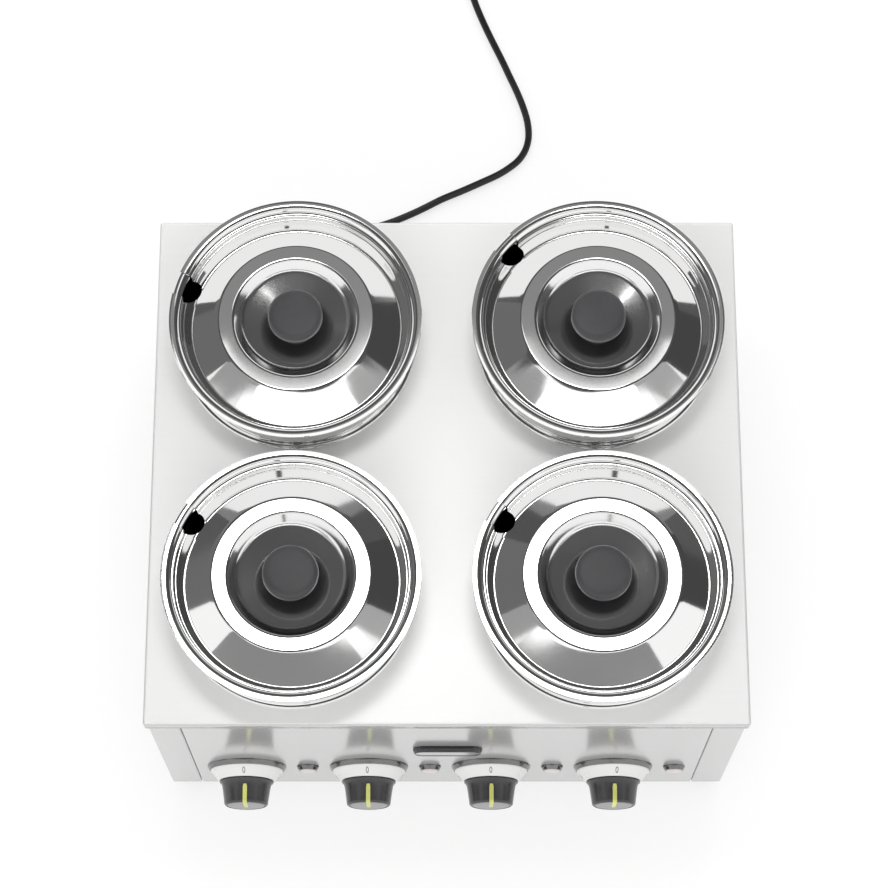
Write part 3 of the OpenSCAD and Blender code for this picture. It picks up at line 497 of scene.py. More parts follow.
# Lids and pots. Radii are from the pot's middle, and a lid's heights from its flat ring.
# Angles of the cone, the dish's wall and its floor are degrees from level.
POT_R, POT_T, POT_DEPTH, POT_CORNER = 103.0, 0.9, 125.0, 12.0
POT_FLOOR_R = 45.0
BEAD_C, BEAD_R = (104.6, 2.4), 2.2
FLARE_X, FLARE_Z, FLARE_R = 108.0, 43.1, 5.0
ROLL_C, ROLL_R = (109.4, 47.5), 1.5
ROLL_START = 180 - math.degrees(math.asin(0.4))
LID_R, LID_T, LID_GAP = 111.3, 0.8, 0.7
LID_FLARE_R = FLARE_R + POT_T + LID_GAP + LID_T
LID_EDGE = 1.6
GROOVE_R = 1.6
GROOVE_C = (FLARE_X - LID_FLARE_R - GROOVE_R, -12.9)
GROOVE_WALL = (-8.8, -10.2, -11.6)
CONE_A = 25.42
RING_C, RING_BEND = (67.0, -5.0), 5.0
DISH_R, DISH_DEPTH, DISH_EDGE, DISH_BEND = 51.8, 15.0, 4.8, 12.0
DISH_TOP_R = DISH_R + DISH_EDGE
WALL_A, FLOOR_A = 40.0, 14.0
FLOOR_RINGS = (38.0, 30.0, 22.0, 17.0, 15.0)
SEAT_R, SEAT_INNER_R = 14.0, 12.5
NOTCH_W, NOTCH_REACH = 21.0, 23.3
NOTCH_R = NOTCH_W / 2
NOTCH_X = LID_R - NOTCH_REACH + NOTCH_R
ROUND_SEGMENTS = 192
WELD_GAP, SLIVER = 2e-7, 1e-8
LID_Z = DECK_Z + RIM_H


def dish_bend_centre():
    """Middle of the curve that joins the dish's sloping floor to its wall."""
    floor, wall = math.radians(FLOOR_A), math.radians(WALL_A)
    floor_k = DISH_BEND - SEAT_R * math.sin(floor) - DISH_DEPTH * math.cos(floor)
    wall_k = DISH_BEND + DISH_EDGE - DISH_TOP_R * math.sin(wall) - DISH_EDGE * math.cos(wall)
    turn = math.sin(wall - floor)
    return ((floor_k * math.cos(wall) - wall_k * math.cos(floor)) / turn,
            (floor_k * math.sin(wall) - wall_k * math.sin(floor)) / turn)


def lid_cone(a, b):
    """Points up the cone from a to b, close together along the round end of the notch."""
    notch_radii = [NOTCH_X - NOTCH_R * math.cos(math.radians(q)) for q in range(84, -1, -6)]
    shares = [(a[0] - r) / (a[0] - b[0]) for r in notch_radii] + [i / 10 for i in range(4, 10)]
    return [(a[0] + (b[0] - a[0]) * t, a[1] + (b[1] - a[1]) * t) for t in shares]


def lid_face(depth):
    """The lid's face at a depth below its top, from its edge to its middle.

    The faces at all depths have the same count of points."""
    floor = math.radians(FLOOR_A)
    groove = arc(*GROOVE_C, GROOVE_R + depth, 0, -90 - CONE_A, 9)
    bend = arc(*RING_C, RING_BEND - depth, 90 - CONE_A, 90, 5)
    ring_shares = (0.02, 0.25, 0.5, 0.75, 0.98)
    return ([(LID_R - LID_T / 2, -depth), (LID_R - LID_EDGE, -depth)]
            + arc(FLARE_X, -LID_FLARE_R, LID_FLARE_R - depth, 90, 180, 12)
            + [(FLARE_X - LID_FLARE_R + depth, z) for z in GROOVE_WALL]
            + groove + lid_cone(groove[-1], bend[0]) + bend
            + [(RING_C[0] + (DISH_TOP_R - RING_C[0]) * t, -depth) for t in ring_shares]
            + arc(DISH_TOP_R, -DISH_EDGE, DISH_EDGE - depth, 90, 90 + WALL_A, 8)
            + arc(*dish_bend_centre(), DISH_BEND + depth, WALL_A - 90, FLOOR_A - 90, 14)
            + [(r, (r - SEAT_R) * math.tan(floor) - depth / math.cos(floor) - DISH_DEPTH)
               for r in FLOOR_RINGS]
            + [(r, -DISH_DEPTH - depth) for r in (SEAT_R + depth * math.tan(floor / 2), SEAT_INNER_R, 0.0)])


def notch_half(r):
    """Half of the notch's angle at a radius, in radians."""
    if r <= NOTCH_X - NOTCH_R:
        return 0.0
    if r < math.hypot(NOTCH_X, NOTCH_R):
        return math.acos(min(1.0, (r * r + NOTCH_X ** 2 - NOTCH_R ** 2) / (2 * r * NOTCH_X)))
    return math.asin(NOTCH_R / r)


def make_lid(key):
    x, y, turn = PLACES[key]
    bm = bmesh.new()
    origin = at(x, y, LID_Z)

    def ring(r, z):
        half = notch_half(r)
        start, sweep = math.radians(turn) + half, 2 * math.pi - 2 * half
        points = [polar(r, start + sweep * k / ROUND_SEGMENTS) for k in range(ROUND_SEGMENTS + 1)]
        return [bm.verts.new(MM * (origin @ Vector((px, py, z)))) for px, py in points]

    top, low = lid_face(0.0), lid_face(LID_T)
    rings_top = [ring(*p) for p in top]
    rings_low = [ring(*p) for p in low]
    rim = ring(LID_R, -LID_T / 2)
    chain = rings_low[::-1] + [rim] + rings_top
    for a, b in zip(chain, chain[1:]):
        for k in range(ROUND_SEGMENTS):
            bm.faces.new((a[k], a[k + 1], b[k + 1], b[k]))
    # Walls of the notch between the two faces, on both of its sides
    last = max(i for i, (a, b) in enumerate(zip(top, low)) if notch_half(a[0]) > 0 or notch_half(b[0]) > 0)
    for k in (0, ROUND_SEGMENTS):
        for i in range(last + 1):
            bm.faces.new((rings_top[i][k], rings_top[i + 1][k], rings_low[i + 1][k], rings_low[i][k]))
        bm.faces.new((rings_top[0][k], rings_low[0][k], rim[k]))
    bmesh.ops.remove_doubles(bm, verts=bm.verts, dist=WELD_GAP)
    bmesh.ops.dissolve_degenerate(bm, edges=bm.edges, dist=SLIVER)
    obj = finish_mesh("lid_shell_" + key, bm, "lid", "dish", angle=40)
    # The dish takes the second material
    centre = origin.to_translation() * MM
    for p in obj.data.polygons:
        if math.hypot(p.center.x - centre.x, p.center.y - centre.y) < DISH_R * MM:
            p.material_index = 1
    return place(obj, "lid_" + key, "lid_" + key, slot="lid_steel")


KNOB_PROFILE = ([(0, 0), (12.2, 0), (12.5, 0.3), (12.5, 1.6), (11.6, 2.6), (11.0, 4.0), (11.0, 8.3)]
                + [(11.6, 9.4), (17.0, 11.7), (22.4, 13.6), (23.4, 14.2), (24.0, 15.2), (24.0, 18.5)]
                + arc(19.0, 19.1, 5.0, 0, 80, 10)[1:]
                + [(17.0, 24.26), (12.0, 24.44), (6.0, 24.55), (0, 24.6)])


def make_knob(key):
    x, y, _ = PLACES[key]
    obj = lathe("lid_knob_grip_" + key, KNOB_PROFILE, 96, "lid_knob", at(x, y, LID_Z - DISH_DEPTH))
    return place(obj, "lid_" + key, "lid_knob_" + key, slot="knob_black")


def pot_outline():
    """Up the outside from the floor's middle, round the rolled rim, and down the inside."""
    corner = (POT_R - POT_CORNER, POT_CORNER - POT_DEPTH)
    inner_r, inner_floor = POT_R - POT_T, POT_T - POT_DEPTH
    return ([(0, -POT_DEPTH), (POT_FLOOR_R, -POT_DEPTH)] + arc(*corner, POT_CORNER, -90, 0, 12)
            + [(POT_R, -60), (POT_R, -1.2), (POT_R + 0.3, -0.3), (POT_R + 1.0, 0.2)]
            + arc(*BEAD_C, BEAD_R, -90, 90, 14)[1:]
            + [(POT_R + 0.5, 5.0), (POT_R, 5.8), (POT_R, 7.5), (POT_R, 25)]
            + arc(FLARE_X, FLARE_Z, FLARE_R, 180, 90, 12)[1:]
            + arc(*ROLL_C, ROLL_R, ROLL_START, 450, 18)
            + arc(FLARE_X, FLARE_Z, FLARE_R + POT_T, 90, 180, 12)
            + [(inner_r, 20), (inner_r, -50)]
            + arc(*corner, POT_CORNER - POT_T, 0, -90, 12)
            + [(POT_FLOOR_R, inner_floor), (0, inner_floor)])


POT_PROFILE = pot_outline()


def make_pot(key):
    x, y, _ = PLACES[key]
    obj = lathe("pot_shell_" + key, POT_PROFILE, ROUND_SEGMENTS, "pot", at(x, y, DECK_Z))
    return place(obj, "pot_" + key, "pot_" + key, slot="pot_steel")


for key in PLACES:
    make_pot(key)
    make_lid(key)
    make_knob(key)
    dress("lid_screw_" + key, "screw")
    dress("well_" + key, "well")
    dress("heater_" + key, "heater")


# Deck: a sheet with four holes and a lip folded down all round
LIP_H = 13.0
FOLD_R, FOLD_STEPS = 2.2, 6
CORNER_R, CORNER_LEAST_R = 2.6, 0.3
CUT_EDGE = 0.25
# Steps inwards and down from the corner inside the fold, and outwards and down round the edge of a hole
INNER_FOLD = ((0.0, 1.2), (0.4, 0.35), (1.2, 0.0))
HOLE_EDGE = ((0.4, 0.0), (0.1, 0.1), (0.0, 0.35), (0.0, SHEET))
HOLE_R, HOLE_SEGMENTS = 103.6, 128
# Share of a hole's radius within which a triangle is left out, and the triangulation's own tolerance
HOLE_SHARE, CDT_GAP = 0.999, 1e-7
# Upright parts of a normal, above which a face is flat and below which it takes the lip's darker steel,
# painted shade
FLAT_UP, LIP_UP = 0.9999, 0.8


def rounded_rect(half_x, half_y, r, steps=6):
    x, y = half_x - r, half_y - r
    points = []
    for cx, cy, start in ((x, y, 0), (-x, y, 90), (-x, -y, 180), (x, -y, 270)):
        points += arc(cx, cy, r, start, start + 90, steps)
    return points


def deck_loop(inset, r, z):
    """Outline of the deck at a height, an inset inside its edge."""
    return [(x, y + SHIFT_Y, z) for x, y in rounded_rect(DECK[0] - inset, DECK[1] - inset, r)]


def middle(points):
    return sum(points, Vector((0, 0))) / len(points)


def holed_sheet(bm, border, holes):
    """Flat triangles between a border and round holes, all given as closed loops of vertices."""
    loops = [border, *holes]
    verts = [v for loop in loops for v in loop]
    flat = [v.co.xy for v in verts]
    edges = []
    for loop in loops:
        start, n = len(edges), len(loop)
        edges += [(start + k, start + (k + 1) % n) for k in range(n)]
    faces, origins = geometry.delaunay_2d_cdt(flat, edges, [], 0, CDT_GAP)[2:4]
    rounds = []
    for hole in holes:
        centre = middle([v.co.xy for v in hole])
        rounds.append((centre, (hole[0].co.xy - centre).length * HOLE_SHARE))
    for face in faces:
        corners = [origins[i][0] for i in face]
        mid = middle([flat[i] for i in corners])
        if all((mid - centre).length >= reach for centre, reach in rounds):
            bm.faces.new([verts[i] for i in corners])


def make_deck():
    bm = bmesh.new()
    loops = []
    for i in range(FOLD_STEPS + 1):
        a = math.radians(90 * i / FOLD_STEPS)
        inset = FOLD_R * (1 - math.sin(a))
        loops.append(deck_loop(inset, CORNER_R - inset, DECK_Z - FOLD_R * (1 - math.cos(a))))
    low, under = DECK_Z - LIP_H, DECK_Z - SHEET
    lip = [(0.0, low + CUT_EDGE), (CUT_EDGE, low), (SHEET - CUT_EDGE, low), (SHEET, low + CUT_EDGE)]
    lip += [(SHEET + inwards, under - down) for inwards, down in INNER_FOLD]
    loops += [deck_loop(inset, max(CORNER_R - inset, CORNER_LEAST_R), z) for inset, z in lip]
    rows = skin(bm, loops)
    tops, lows = [], []
    for x, y, _ in PLACES.values():
        cy = y + SHIFT_Y
        edge = skin(bm, [[(x + px, cy + py, DECK_Z - down) for px, py in circle(HOLE_R + out, HOLE_SEGMENTS)]
                         for out, down in HOLE_EDGE])
        tops.append(edge[0])
        lows.append(edge[-1])
    holed_sheet(bm, rows[0], tops)
    holed_sheet(bm, rows[-1], lows)
    obj = finish_mesh("deck_top", bm, "deck", "panel", angle=50)
    # Faces tilted past LIP_UP (the lip, the lower bends and the hole walls) take the darker panel steel:
    # painted shade on the sheet's upright faces
    for p in obj.data.polygons:
        if abs(p.normal.z) > FLAT_UP:
            p.use_smooth = False
        elif abs(p.normal.z) < LIP_UP:
            p.material_index = 1
    return place(obj, "housing", "deck", slot="deck_steel")


# Panels: sheets with upright bends, and level flanges at their top and bottom
RETURN_W = 27.5
FRONT_X = 229.7
BEND_R, BEND_STEPS = 1.8, 6
FLANGE_W, FRONT_TOP_W = 12.0, 10.0
# A flange reaches a little into its own sheet, ends short of the folds beside it, and lies just inside
# the sheet's upper or lower edge
FLANGE_START, FLANGE_END, FLANGE_GAP = 0.9, 1.2, 0.02


def bent_path(corners):
    """The outer face of an open path with its corners bent round, and the face one sheet further in."""
    points = [Vector(c) for c in corners]
    outer = [points[0]]
    inner = [points[0] + (points[2] - points[1]).normalized() * SHEET]
    for before, here, after in zip(points, points[1:], points[2:]):
        a, b = (before - here).normalized(), (after - here).normalized()
        centre = here + (a + b) * BEND_R
        for k in range(BEND_STEPS + 1):
            t = k / BEND_STEPS * math.pi / 2
            out = -b * math.cos(t) - a * math.sin(t)
            outer.append(centre + out * BEND_R)
            inner.append(centre + out * (BEND_R - SHEET))
    outer.append(points[-1])
    inner.append(points[-1] + (points[-3] - points[-2]).normalized() * SHEET)
    return outer, inner


def add_flange(bm, x0, x1, y0, y1, z):
    centre = Matrix.Translation((MM * (x0 + x1) / 2, MM * ((y0 + y1) / 2 + SHIFT_Y), MM * (z + SHEET / 2)))
    size = Matrix.Diagonal((MM * abs(x1 - x0), MM * abs(y1 - y0), MM * SHEET, 1.0))
    bmesh.ops.create_cube(bm, size=1.0, matrix=centre @ size)


def folded_panel(name, path, flanges):
    """A sheet bent along a path, with flanges given by their sides and their lower face."""
    bm = bmesh.new()
    outer, inner = bent_path(path)
    n = len(outer)
    rows = skin(bm, [[(p.x, p.y + SHIFT_Y, z) for p in outer + inner[::-1]] for z in PANEL_Z])
    for row in rows:
        for k in range(n - 1):
            bm.faces.new((row[k], row[k + 1], row[2 * n - 2 - k], row[2 * n - 1 - k]))
    for flange in flanges:
        add_flange(bm, *flange)
    return finish_mesh(name, bm, "panel", angle=30)


def make_panels():
    px, py = PANEL
    low, high = PANEL_Z[0] + FLANGE_GAP, PANEL_Z[1] - FLANGE_GAP - SHEET
    for m, side in ((-1, "left"), (1, "right")):
        in_x = m * (px - RETURN_W)
        path = [(in_x, FLANGE_W - py), (in_x, -py), (m * px, -py), (m * px, py), (in_x, py),
                (in_x, py - FLANGE_W)]
        flanges = [(m * (px - FLANGE_W), m * (px - FLANGE_START), FLANGE_END - py, py - FLANGE_END, z)
                   for z in (low, high)]
        obj = folded_panel("side_sheet_" + side, path, flanges)
        place(obj, "housing", "side_panel_" + side, slot="panel_steel")
    path = [(-FRONT_X, FLANGE_W - py), (-FRONT_X, -py), (FRONT_X, -py), (FRONT_X, FLANGE_W - py)]
    flanges = [(FLANGE_END - FRONT_X, FRONT_X - FLANGE_END, FLANGE_START - py, w - py, z)
               for w, z in ((FLANGE_W, low), (FRONT_TOP_W, high))]
    obj = folded_panel("front_sheet", path, flanges)
    place(obj, "housing", "front_panel", slot="panel_steel")


make_deck()
make_panels()
dress("rear_panel", "panel")
dress("base_plate", "base")
dress("terminal_block", "block")
dress("foot_screws", "screw")
dress("base_screws", "screw")


# Dials. Profiles are (radius, height out of the panel).
BEZEL_PROFILE = [(33.5, 0), (36.0, 0), (36.0, 0.5), (35.9, 0.95), (35.5, 1.8), (34.9, 2.8), (34.3, 3.9),
                 (34.05, 4.35), (33.8, 4.6), (33.5, 4.65), (33.5, 0)]
CONE_FOOT, CONE_TOP = (32.7, 5.9), (26.2, 13.4)
SCALE_PROFILE = [(31.7, 0), (33.3, 0), (33.3, 5.0), (33.15, 5.4), CONE_FOOT, CONE_TOP, (25.7, 13.8),
                 (25.3, 14.0), (24.3, 14.0), (24.0, 13.8), (24.0, 13.4), (31.7, 5.2), (31.7, 0)]
GRIP_SIDE = [(21.5, 23.0), (20.95, 27.0), (20.4, 31.0), (20.1, 33.2)] + arc(17.4, 34.3, 2.6, 0, 80, 7)
GRIP_PROFILE = ([(22.1, 5.0), (22.1, 14.5), (24.1, 14.5), (24.5, 14.75), (24.6, 15.2), (24.3, 15.7)]
                + [(23.5, 16.3), (22.9, 17.1), (22.4, 18.4), (22.0, 20.0)]
                + GRIP_SIDE + [(17.4, 36.72), (17.15, 36.6), (17.0, 36.25)])
FACE_PROFILE = [(17.0, 36.25), (16.8, 36.55), (16.4, 36.75), (12.0, 36.9), (6.0, 36.97), (0, 37.0)]
POINTER_LINE = ([(21.92, 20.5)] + GRIP_SIDE
                + [(16.6, 36.78), (12.0, 36.95), (6.0, 37.02), (0.0, 37.05), (-5.0, 37.03)])
POINTER_HALF_W, POINTER_END_SHARE = 1.9, 0.72
POINTER_LIFT, POINTER_SINK = 0.12, 0.5
# Half of the pointer's section: share of its half width, and height over the grip
POINTER_SECTION = ((1.0, -POINTER_SINK), (1.0, POINTER_LIFT * 0.6), (0.8, POINTER_LIFT))
# Height above which the pointer lies on the flat face and no longer on the round side
FACE_START = 35
NUMBER_R, NUMBER_LIFT = 29.45, 0.12
NUMBER_SIZE, NUMBER_SQUEEZE, NUMBER_THIN = 6.9, 0.62, 0.006
# Size of the font to the height of its numbers
FONT_SHARE = 1.36
# Turn of each scale from the top, and of its numbers 0 to 6 from the first, clockwise in degrees
SCALE_TURNS = [-1.4, -1.4, -1.2, 3.4]
NUMBER_TURNS = [0] + [90 + 36 * i for i in range(6)]


def make_pointer(i, to):
    """Yellow insert up one side of the grip and across its face, a hair proud of both."""
    section = [(-share, h) for share, h in POINTER_SECTION] + list(POINTER_SECTION[::-1])
    bm = bmesh.new()
    rows = []
    last = len(POINTER_LINE) - 1
    for k, (r, h) in enumerate(POINTER_LINE):
        on_side = h < FACE_START
        before, after = POINTER_LINE[max(k - 1, 0)], POINTER_LINE[min(k + 1, last)]
        run = Vector((after[0] - before[0], after[1] - before[1])).normalized()
        out = Vector((-run.y, run.x))
        if out.x < 0 and on_side:
            out = -out
        if out.y < 0:
            out = Vector((abs(out.x), abs(out.y)))
        half_w = POINTER_HALF_W * (1.0 if 0 < k < last else POINTER_END_SHARE)
        row = []
        for share, lift in section:
            q = Vector((r, h)) + out * lift
            x = half_w * share
            y = math.copysign(math.sqrt(max(q.x * q.x - x * x, 0.0)), q.x) if on_side else q.x
            row.append(bm.verts.new(MM * (to @ Vector((x, y, q.y)))))
        rows.append(row)
    for a, b in zip(rows, rows[1:]):
        for k in range(len(section) - 1):
            bm.faces.new((a[k], a[k + 1], b[k + 1], b[k]))
    bm.faces.new(rows[0])
    bm.faces.new(rows[-1])
    return finish_mesh(f"pointer_line_{i}", bm, "pointer", angle=40)


def text_mesh(text):
    """Flat mesh of a text, centred, in millimetres."""
    curve = bpy.data.curves.new("text", "FONT")
    curve.body = text
    curve.size = NUMBER_SIZE * FONT_SHARE
    curve.align_x = "CENTER"
    curve.align_y = "CENTER"
    curve.offset = -NUMBER_THIN * NUMBER_SIZE
    curve.resolution_u = 6
    obj = bpy.data.objects.new("text", curve)
    bpy.context.scene.collection.objects.link(obj)
    bpy.context.view_layer.update()
    mesh = bpy.data.meshes.new_from_object(obj.evaluated_get(bpy.context.evaluated_depsgraph_get()))
    bpy.data.objects.remove(obj)
    bpy.data.curves.remove(curve)
    return mesh


def number_mesh(number, angle, to):
    """A plain number laid on the scale ring's cone, at an angle clockwise from the top."""
    mesh = text_mesh(str(number))
    slope = math.atan2(CONE_TOP[1] - CONE_FOOT[1], CONE_FOOT[0] - CONE_TOP[0])
    for v in mesh.vertices:
        r = NUMBER_R + v.co.y * math.cos(slope)
        z = CONE_FOOT[1] + (CONE_FOOT[0] - r) * math.tan(slope) + NUMBER_LIFT
        x, y = polar(r, math.radians(90 - angle) - v.co.x * NUMBER_SQUEEZE / r)
        v.co = MM * (to @ Vector((x, y, z)))
    return mesh


def make_dial(i, x, scale_turn):
    to = on_front(x)
    body = f"dial_{i}"
    grip = lathe(f"dial_grip_{i}", GRIP_PROFILE, 96, "dial", to, angle=40)
    place(grip, body, f"dial_knob_{i}", slot="dial_grey")
    face = lathe(f"dial_face_{i}", FACE_PROFILE, 96, "face", to, angle=40)
    place(face, body, slot="dial_grey")
    place(make_pointer(i, to), body, f"pointer_{i}", slot="pointer_yellow")
    dress(f"spindle_{i}", "screw")
    dress(f"thermostat_{i}", "stat")
    bm = bmesh.new()
    for number, turn in enumerate(NUMBER_TURNS):
        mesh = number_mesh(number, scale_turn + turn, to)
        bm.from_mesh(mesh)
        bpy.data.meshes.remove(mesh)
    numbers = finish_mesh(f"scale_numbers_{i}", bm, "ink", smooth=False)
    place(numbers, "housing", slot="scale_white")


for i, (x, scale_turn) in enumerate(zip(DIAL_X, SCALE_TURNS), 1):
    make_dial(i, x, scale_turn)


# Rings round the dials, and pilot lamps. Each set of four is one piece, as its CAD node is.
LENS_R, LENS_Z, LENS_CROWN = 7.4, 4.2, 1.0
LAMP_PROFILE = [(7.5, 0), (10.1, 0), (10.1, 0.4), (10.0, 0.8), (9.6, 1.7), (9.0, 2.7), (8.4, 3.7),
                (8.1, 4.15), (7.8, 4.3), (7.5, 4.15), (7.5, 0)]
LENS_PROFILE = ([(LENS_R, 0.3), (LENS_R, LENS_Z)]
                + [(LENS_R * math.cos(math.radians(a)), LENS_Z + LENS_CROWN * math.sin(math.radians(a)))
                   for a in range(8, 90, 8)] + [(0, LENS_Z + LENS_CROWN)])


def make_set(name, profile, segments, mat, places, replaced, slot):
    place(lathe(name, profile, segments, mat, *places), "housing", replaced, slot=slot)


dial_places = [on_front(x) for x in DIAL_X]
lamp_places = [on_front(x) for x in LAMP_X]
make_set("bezel_rings", BEZEL_PROFILE, 128, "bezel", dial_places, "dial_bezels", "bezel_chrome")
make_set("scale_cones", SCALE_PROFILE, 128, "scale", dial_places, "scale_rings", "scale_white")
make_set("lamp_rims", LAMP_PROFILE, 64, "bezel", lamp_places, "lamp_bezels", "bezel_chrome")
make_set("lamp_lenses", LENS_PROFILE, 64, "lens", lamp_places, "pilot_lamps", "lamp_lens")


# Badge: a plate with round ends and a blank face. The profile is (radius of the ends, height).
BADGE_X, BADGE_Z, BADGE_W, BADGE_R = 0.8, 158.0, 62.0, 10.0
BADGE_PROFILE = [(BADGE_R, 0), (BADGE_R, 0.6), (9.9, 1.4), (9.7, 2.4), (9.3, 3.4), (8.9, 4.3), (8.5, 5.0),
                 (8.2, 5.35), (7.9, 5.4), (7.7, 5.2), (7.6, 4.9)]
BLANK_PROFILE = [(7.6, 4.9), (7.5, 5.0)]


def pill(half_run, r, steps=14):
    return arc(half_run, 0, r, -90, 90, steps) + arc(-half_run, 0, r, 90, 270, steps)


def make_badge():
    to = on_front(BADGE_X, BADGE_Z)

    def shell(bm, profile):
        return skin(bm, [[to @ Vector((x, y, z)) for x, y in pill(BADGE_W / 2 - BADGE_R, r)]
                         for r, z in profile])

    bm = bmesh.new()
    shell(bm, BADGE_PROFILE)
    place(finish_mesh("badge_frame", bm, "badge", angle=40), "housing", "badge", slot="badge_black")
    bm = bmesh.new()
    rows = shell(bm, BLANK_PROFILE)
    bm.faces.new(rows[-1])
    place(finish_mesh("badge_blank", bm, "badge_face", angle=40), "housing", slot="badge_black")


make_badge()


# Feet, a set of four like the rings
FOOT_X, FOOT_Y = 217.5, 190.5
FOOT_PROFILE = ([(2.6, 6.0), (6.0, 6.0), (6.0, 0.4), (6.4, 0.0), (12.6, 0.0)]
                + arc(12.6, 1.2, 1.2, -90, 0, 4)[1:]
                + [(14.0, 10.8), (13.7, 11.7), (13.2, 12.0), (13.2, 13.0)])
foot_places = [at(x, y, 0) for x in (-FOOT_X, FOOT_X) for y in (-FOOT_Y, FOOT_Y)]
make_set("rubber_feet", FOOT_PROFILE, 48, "foot", foot_places, "feet", "foot_rubber")


# Studio, in metres: places of the level cards over the part, and half widths and depths of their ovals
CEILING, GREY_LEVEL, STRIP_LEVEL = (0, 0, 2.36), (0, 0, 2.35), (0, 0, 2.33)
INNER_OVAL, MIDDLE_OVAL, OUTER_OVAL, SHOULDER_OVAL = (1.25, 1.08), (1.95, 1.52), (2.6, 1.9), (2.6, 0.25)
STRIP_BITE_C, STRIP_BITE_R = (0.251, 0.925), 0.122
SIDE_GREY = ((2.3, 0.2), (2.3, -0.3), (1.85, -0.7), (1.3, -0.95), (1.05, -0.78), (1.35, -0.45),
             (1.7, -0.15), (1.9, 0.2))
LID_LEVEL = Vector((0, 0, 0.31))
UPRIGHT = (math.radians(90), 0, 0)
WHITE = (1, 1, 1, 1)
FLOOR_SIZE, FLOOR_TONE, FLOOR_GLOW, FLOOR_SHARE = 30, 0.86, 0.62, 0.5
SKY_LIGHT, SKY_SEEN = 0.72, 1.0


def stage_plane(name, points, place_at, rotation, mat):
    mesh = bpy.data.meshes.new(name)
    mesh.from_pydata([(x, y, 0) for x, y in points], [], [tuple(range(len(points)))])
    obj = bpy.data.objects.new(name, mesh)
    obj.location = place_at
    obj.rotation_euler = rotation
    mesh.materials.append(mat)
    bpy.context.scene.collection.objects.link(obj)
    return obj


def floor_material():
    """Pale floor. Seen or mirrored, half of its own shading gives way to a white glow."""
    m = Nodes("studio_floor")
    m.set(color=(FLOOR_TONE, FLOOR_TONE, FLOOR_TONE, 1), rough=0.9, spec=0.1)
    rays = m.add("LightPath").outputs
    mirrored = m.math("MAXIMUM", rays["Is Glossy Ray"], rays["Is Transmission Ray"])
    seen = m.math("MAXIMUM", rays["Is Camera Ray"], mirrored)
    glow = m.add("Emission", {"Color": WHITE, "Strength": m.math("MULTIPLY", seen, FLOOR_GLOW)})
    half = m.add("MixShader", {0: m.math("MULTIPLY", seen, FLOOR_SHARE), 1: m.bsdf.outputs[0]})
    total = m.add("AddShader", {0: half.outputs[0], 1: glow.outputs[0]})
    m.put(m.out, 0, total.outputs[0])
    return m.mat


def card(name, strength, points, place_at=CEILING, rotation=(0, 0, 0)):
    """A card seen in mirroring surfaces only, darker than the sky below strength 1 and brighter above."""
    m = Nodes(name)
    m.tree.nodes.remove(m.bsdf)
    glow = m.add("Emission", {"Color": WHITE, "Strength": strength})
    m.put(m.out, 0, glow.outputs[0])
    obj = stage_plane(name, points, place_at, rotation, m.mat)
    obj.visible_camera = False
    obj.visible_diffuse = False
    obj.visible_shadow = False
    obj.visible_transmission = False


def rect(w, h):
    return [(-w / 2, -h / 2), (w / 2, -h / 2), (w / 2, h / 2), (-w / 2, h / 2)]


def oval(radii, start, end, steps=24):
    """Points round an oval, from one angle to another in degrees."""
    return [(radii[0] * x, radii[1] * y) for x, y in arc(0, 0, 1, start, end, steps)]


def far_card(name, strength, azimuth, zenith, width, height, distance=2.6):
    """A card facing the lids. All angles are degrees, azimuth clockwise from the back of the part."""
    a, t = math.radians(azimuth), math.radians(zenith)
    to = Vector((math.sin(t) * math.sin(a), math.sin(t) * math.cos(a), math.cos(t)))
    size = [2 * distance * math.tan(math.radians(angle) / 2) for angle in (width, height)]
    card(name, strength, rect(*size), LID_LEVEL + to * distance, to.to_track_quat("Z", "Y").to_euler())


def world_light():
    """A plain white sky: at full strength for what is seen or mirrored, softer as light."""
    world = bpy.data.worlds.new("studio")
    bpy.context.scene.world = world
    world.use_nodes = True
    tree = world.node_tree
    sky = tree.nodes["Background"]
    sky.inputs["Color"].default_value = WHITE
    path = tree.nodes.new("ShaderNodeLightPath")
    seen = path.outputs["Is Camera Ray"]
    for ray in ("Is Glossy Ray", "Is Transmission Ray"):
        either = tree.nodes.new("ShaderNodeMath")
        either.operation = "MAXIMUM"
        tree.links.new(seen, either.inputs[0])
        tree.links.new(path.outputs[ray], either.inputs[1])
        seen = either.outputs[0]
    strength = tree.nodes.new("ShaderNodeMapRange")
    strength.inputs["To Min"].default_value = SKY_LIGHT
    strength.inputs["To Max"].default_value = SKY_SEEN
    tree.links.new(seen, strength.inputs["Value"])
    tree.links.new(strength.outputs[0], sky.inputs["Strength"])


def lamp(name, size, place_at, target, energy, mirrored=True):
    data = bpy.data.lights.new(name, "AREA")
    data.shape = "RECTANGLE"
    data.size, data.size_y = size
    data.energy = energy
    obj = bpy.data.objects.new(name, data)
    obj.location = place_at
    obj.rotation_euler = (Vector(target) - Vector(place_at)).to_track_quat("-Z", "Y").to_euler()
    obj.visible_glossy = mirrored
    bpy.context.scene.collection.objects.link(obj)


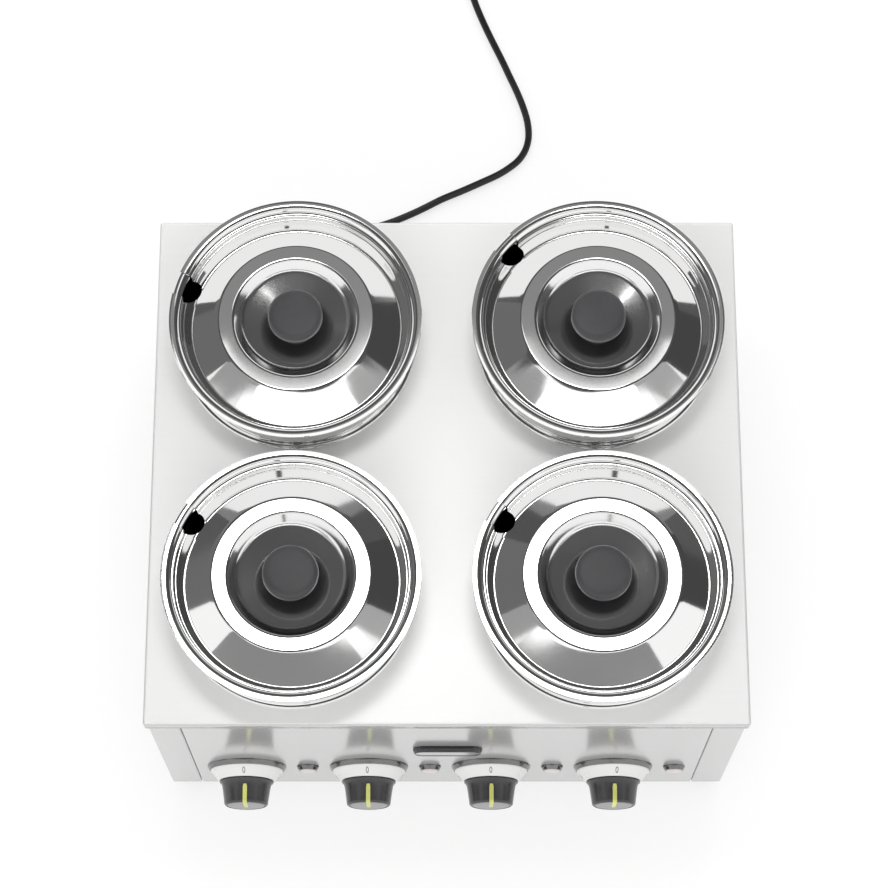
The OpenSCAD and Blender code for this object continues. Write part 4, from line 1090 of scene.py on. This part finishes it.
def overhead_cards():
    """A dark ceiling over the rear, and under it a grey band and a white strip with two round bites."""
    card("overhead_flag", 0.085, [(2.5, 3.4), (-2.5, 3.4)] + oval(SHOULDER_OVAL, 180, 195, 3)
         + oval(INNER_OVAL, 200, 340) + oval(SHOULDER_OVAL, 345, 360, 3))
    card("overhead_grey", 0.25, [(-0.45, 0.80), (0.45, 0.80), (0.45, 1.12), (-0.45, 1.12)], GREY_LEVEL)
    strip = [(-0.45, 0.58), (0.42, 0.58), (0.42, 0.88)]
    for side in (1, -1):
        strip += [(side * STRIP_BITE_C[0] + x, STRIP_BITE_C[1] + y)
                  for x, y in oval((STRIP_BITE_R, STRIP_BITE_R), 340, 200, 10)]
    card("strip_edge", 1.1, strip + [(-0.45, 0.88)], STRIP_LEVEL)


def south_cards():
    """White and grey bands over the front, and a grey patch at each of its sides."""
    card("south_panel", 1.3, oval(INNER_OVAL, 215, 325) + oval(MIDDLE_OVAL, 325, 215))
    card("south_grey", 0.26, oval(MIDDLE_OVAL, 215, 310) + oval(OUTER_OVAL, 310, 215))
    for name, side, strength in (("southwest_grey", -1, 0.34), ("southeast_grey", 1, 0.40)):
        card(name, strength, [(side * x, y) for x, y in SIDE_GREY], GREY_LEVEL)


def standing_cards():
    """Cards behind the part, at its sides and before it."""
    card("north_board", 0.90, rect(2.4, 0.52), (0, 0.385, 0.26), UPRIGHT)
    far_card("north_grey", 0.22, 0, 70, 130, 44, 4.5)
    far_card("east_flag", 0.06, 70, 50, 36, 26)
    far_card("west_flag", 0.15, -70, 50, 36, 26)
    far_card("east_low_flag", 0.10, 72, 74, 56, 24)
    far_card("west_low_flag", 0.10, -72, 74, 56, 24)
    card("front_stand", 0.10, rect(0.08, 0.42), (0, -1.3, 0.93), UPRIGHT)


def make_studio():
    bpy.context.scene.view_settings.view_transform = "Standard"
    stage_plane("studio_floor", rect(FLOOR_SIZE, FLOOR_SIZE), (0, 0, 0), (0, 0, 0), floor_material())
    world_light()
    overhead_cards()
    south_cards()
    standing_cards()
    lamp("overhead_strip", (0.79, 0.36), (-0.02, 0.42, 2.3), (-0.02, 0.42, 0), 5.2)
    lamp("front_softbox", (2.4, 1.4), (-0.4, -2.6, 2.2), (0, 0, 0.2), 26, mirrored=False)
    lamp("rear_softbox", (2.6, 1.0), (0.3, 2.6, 1.6), (0, 0, 0.2), 16, mirrored=False)


make_studio()
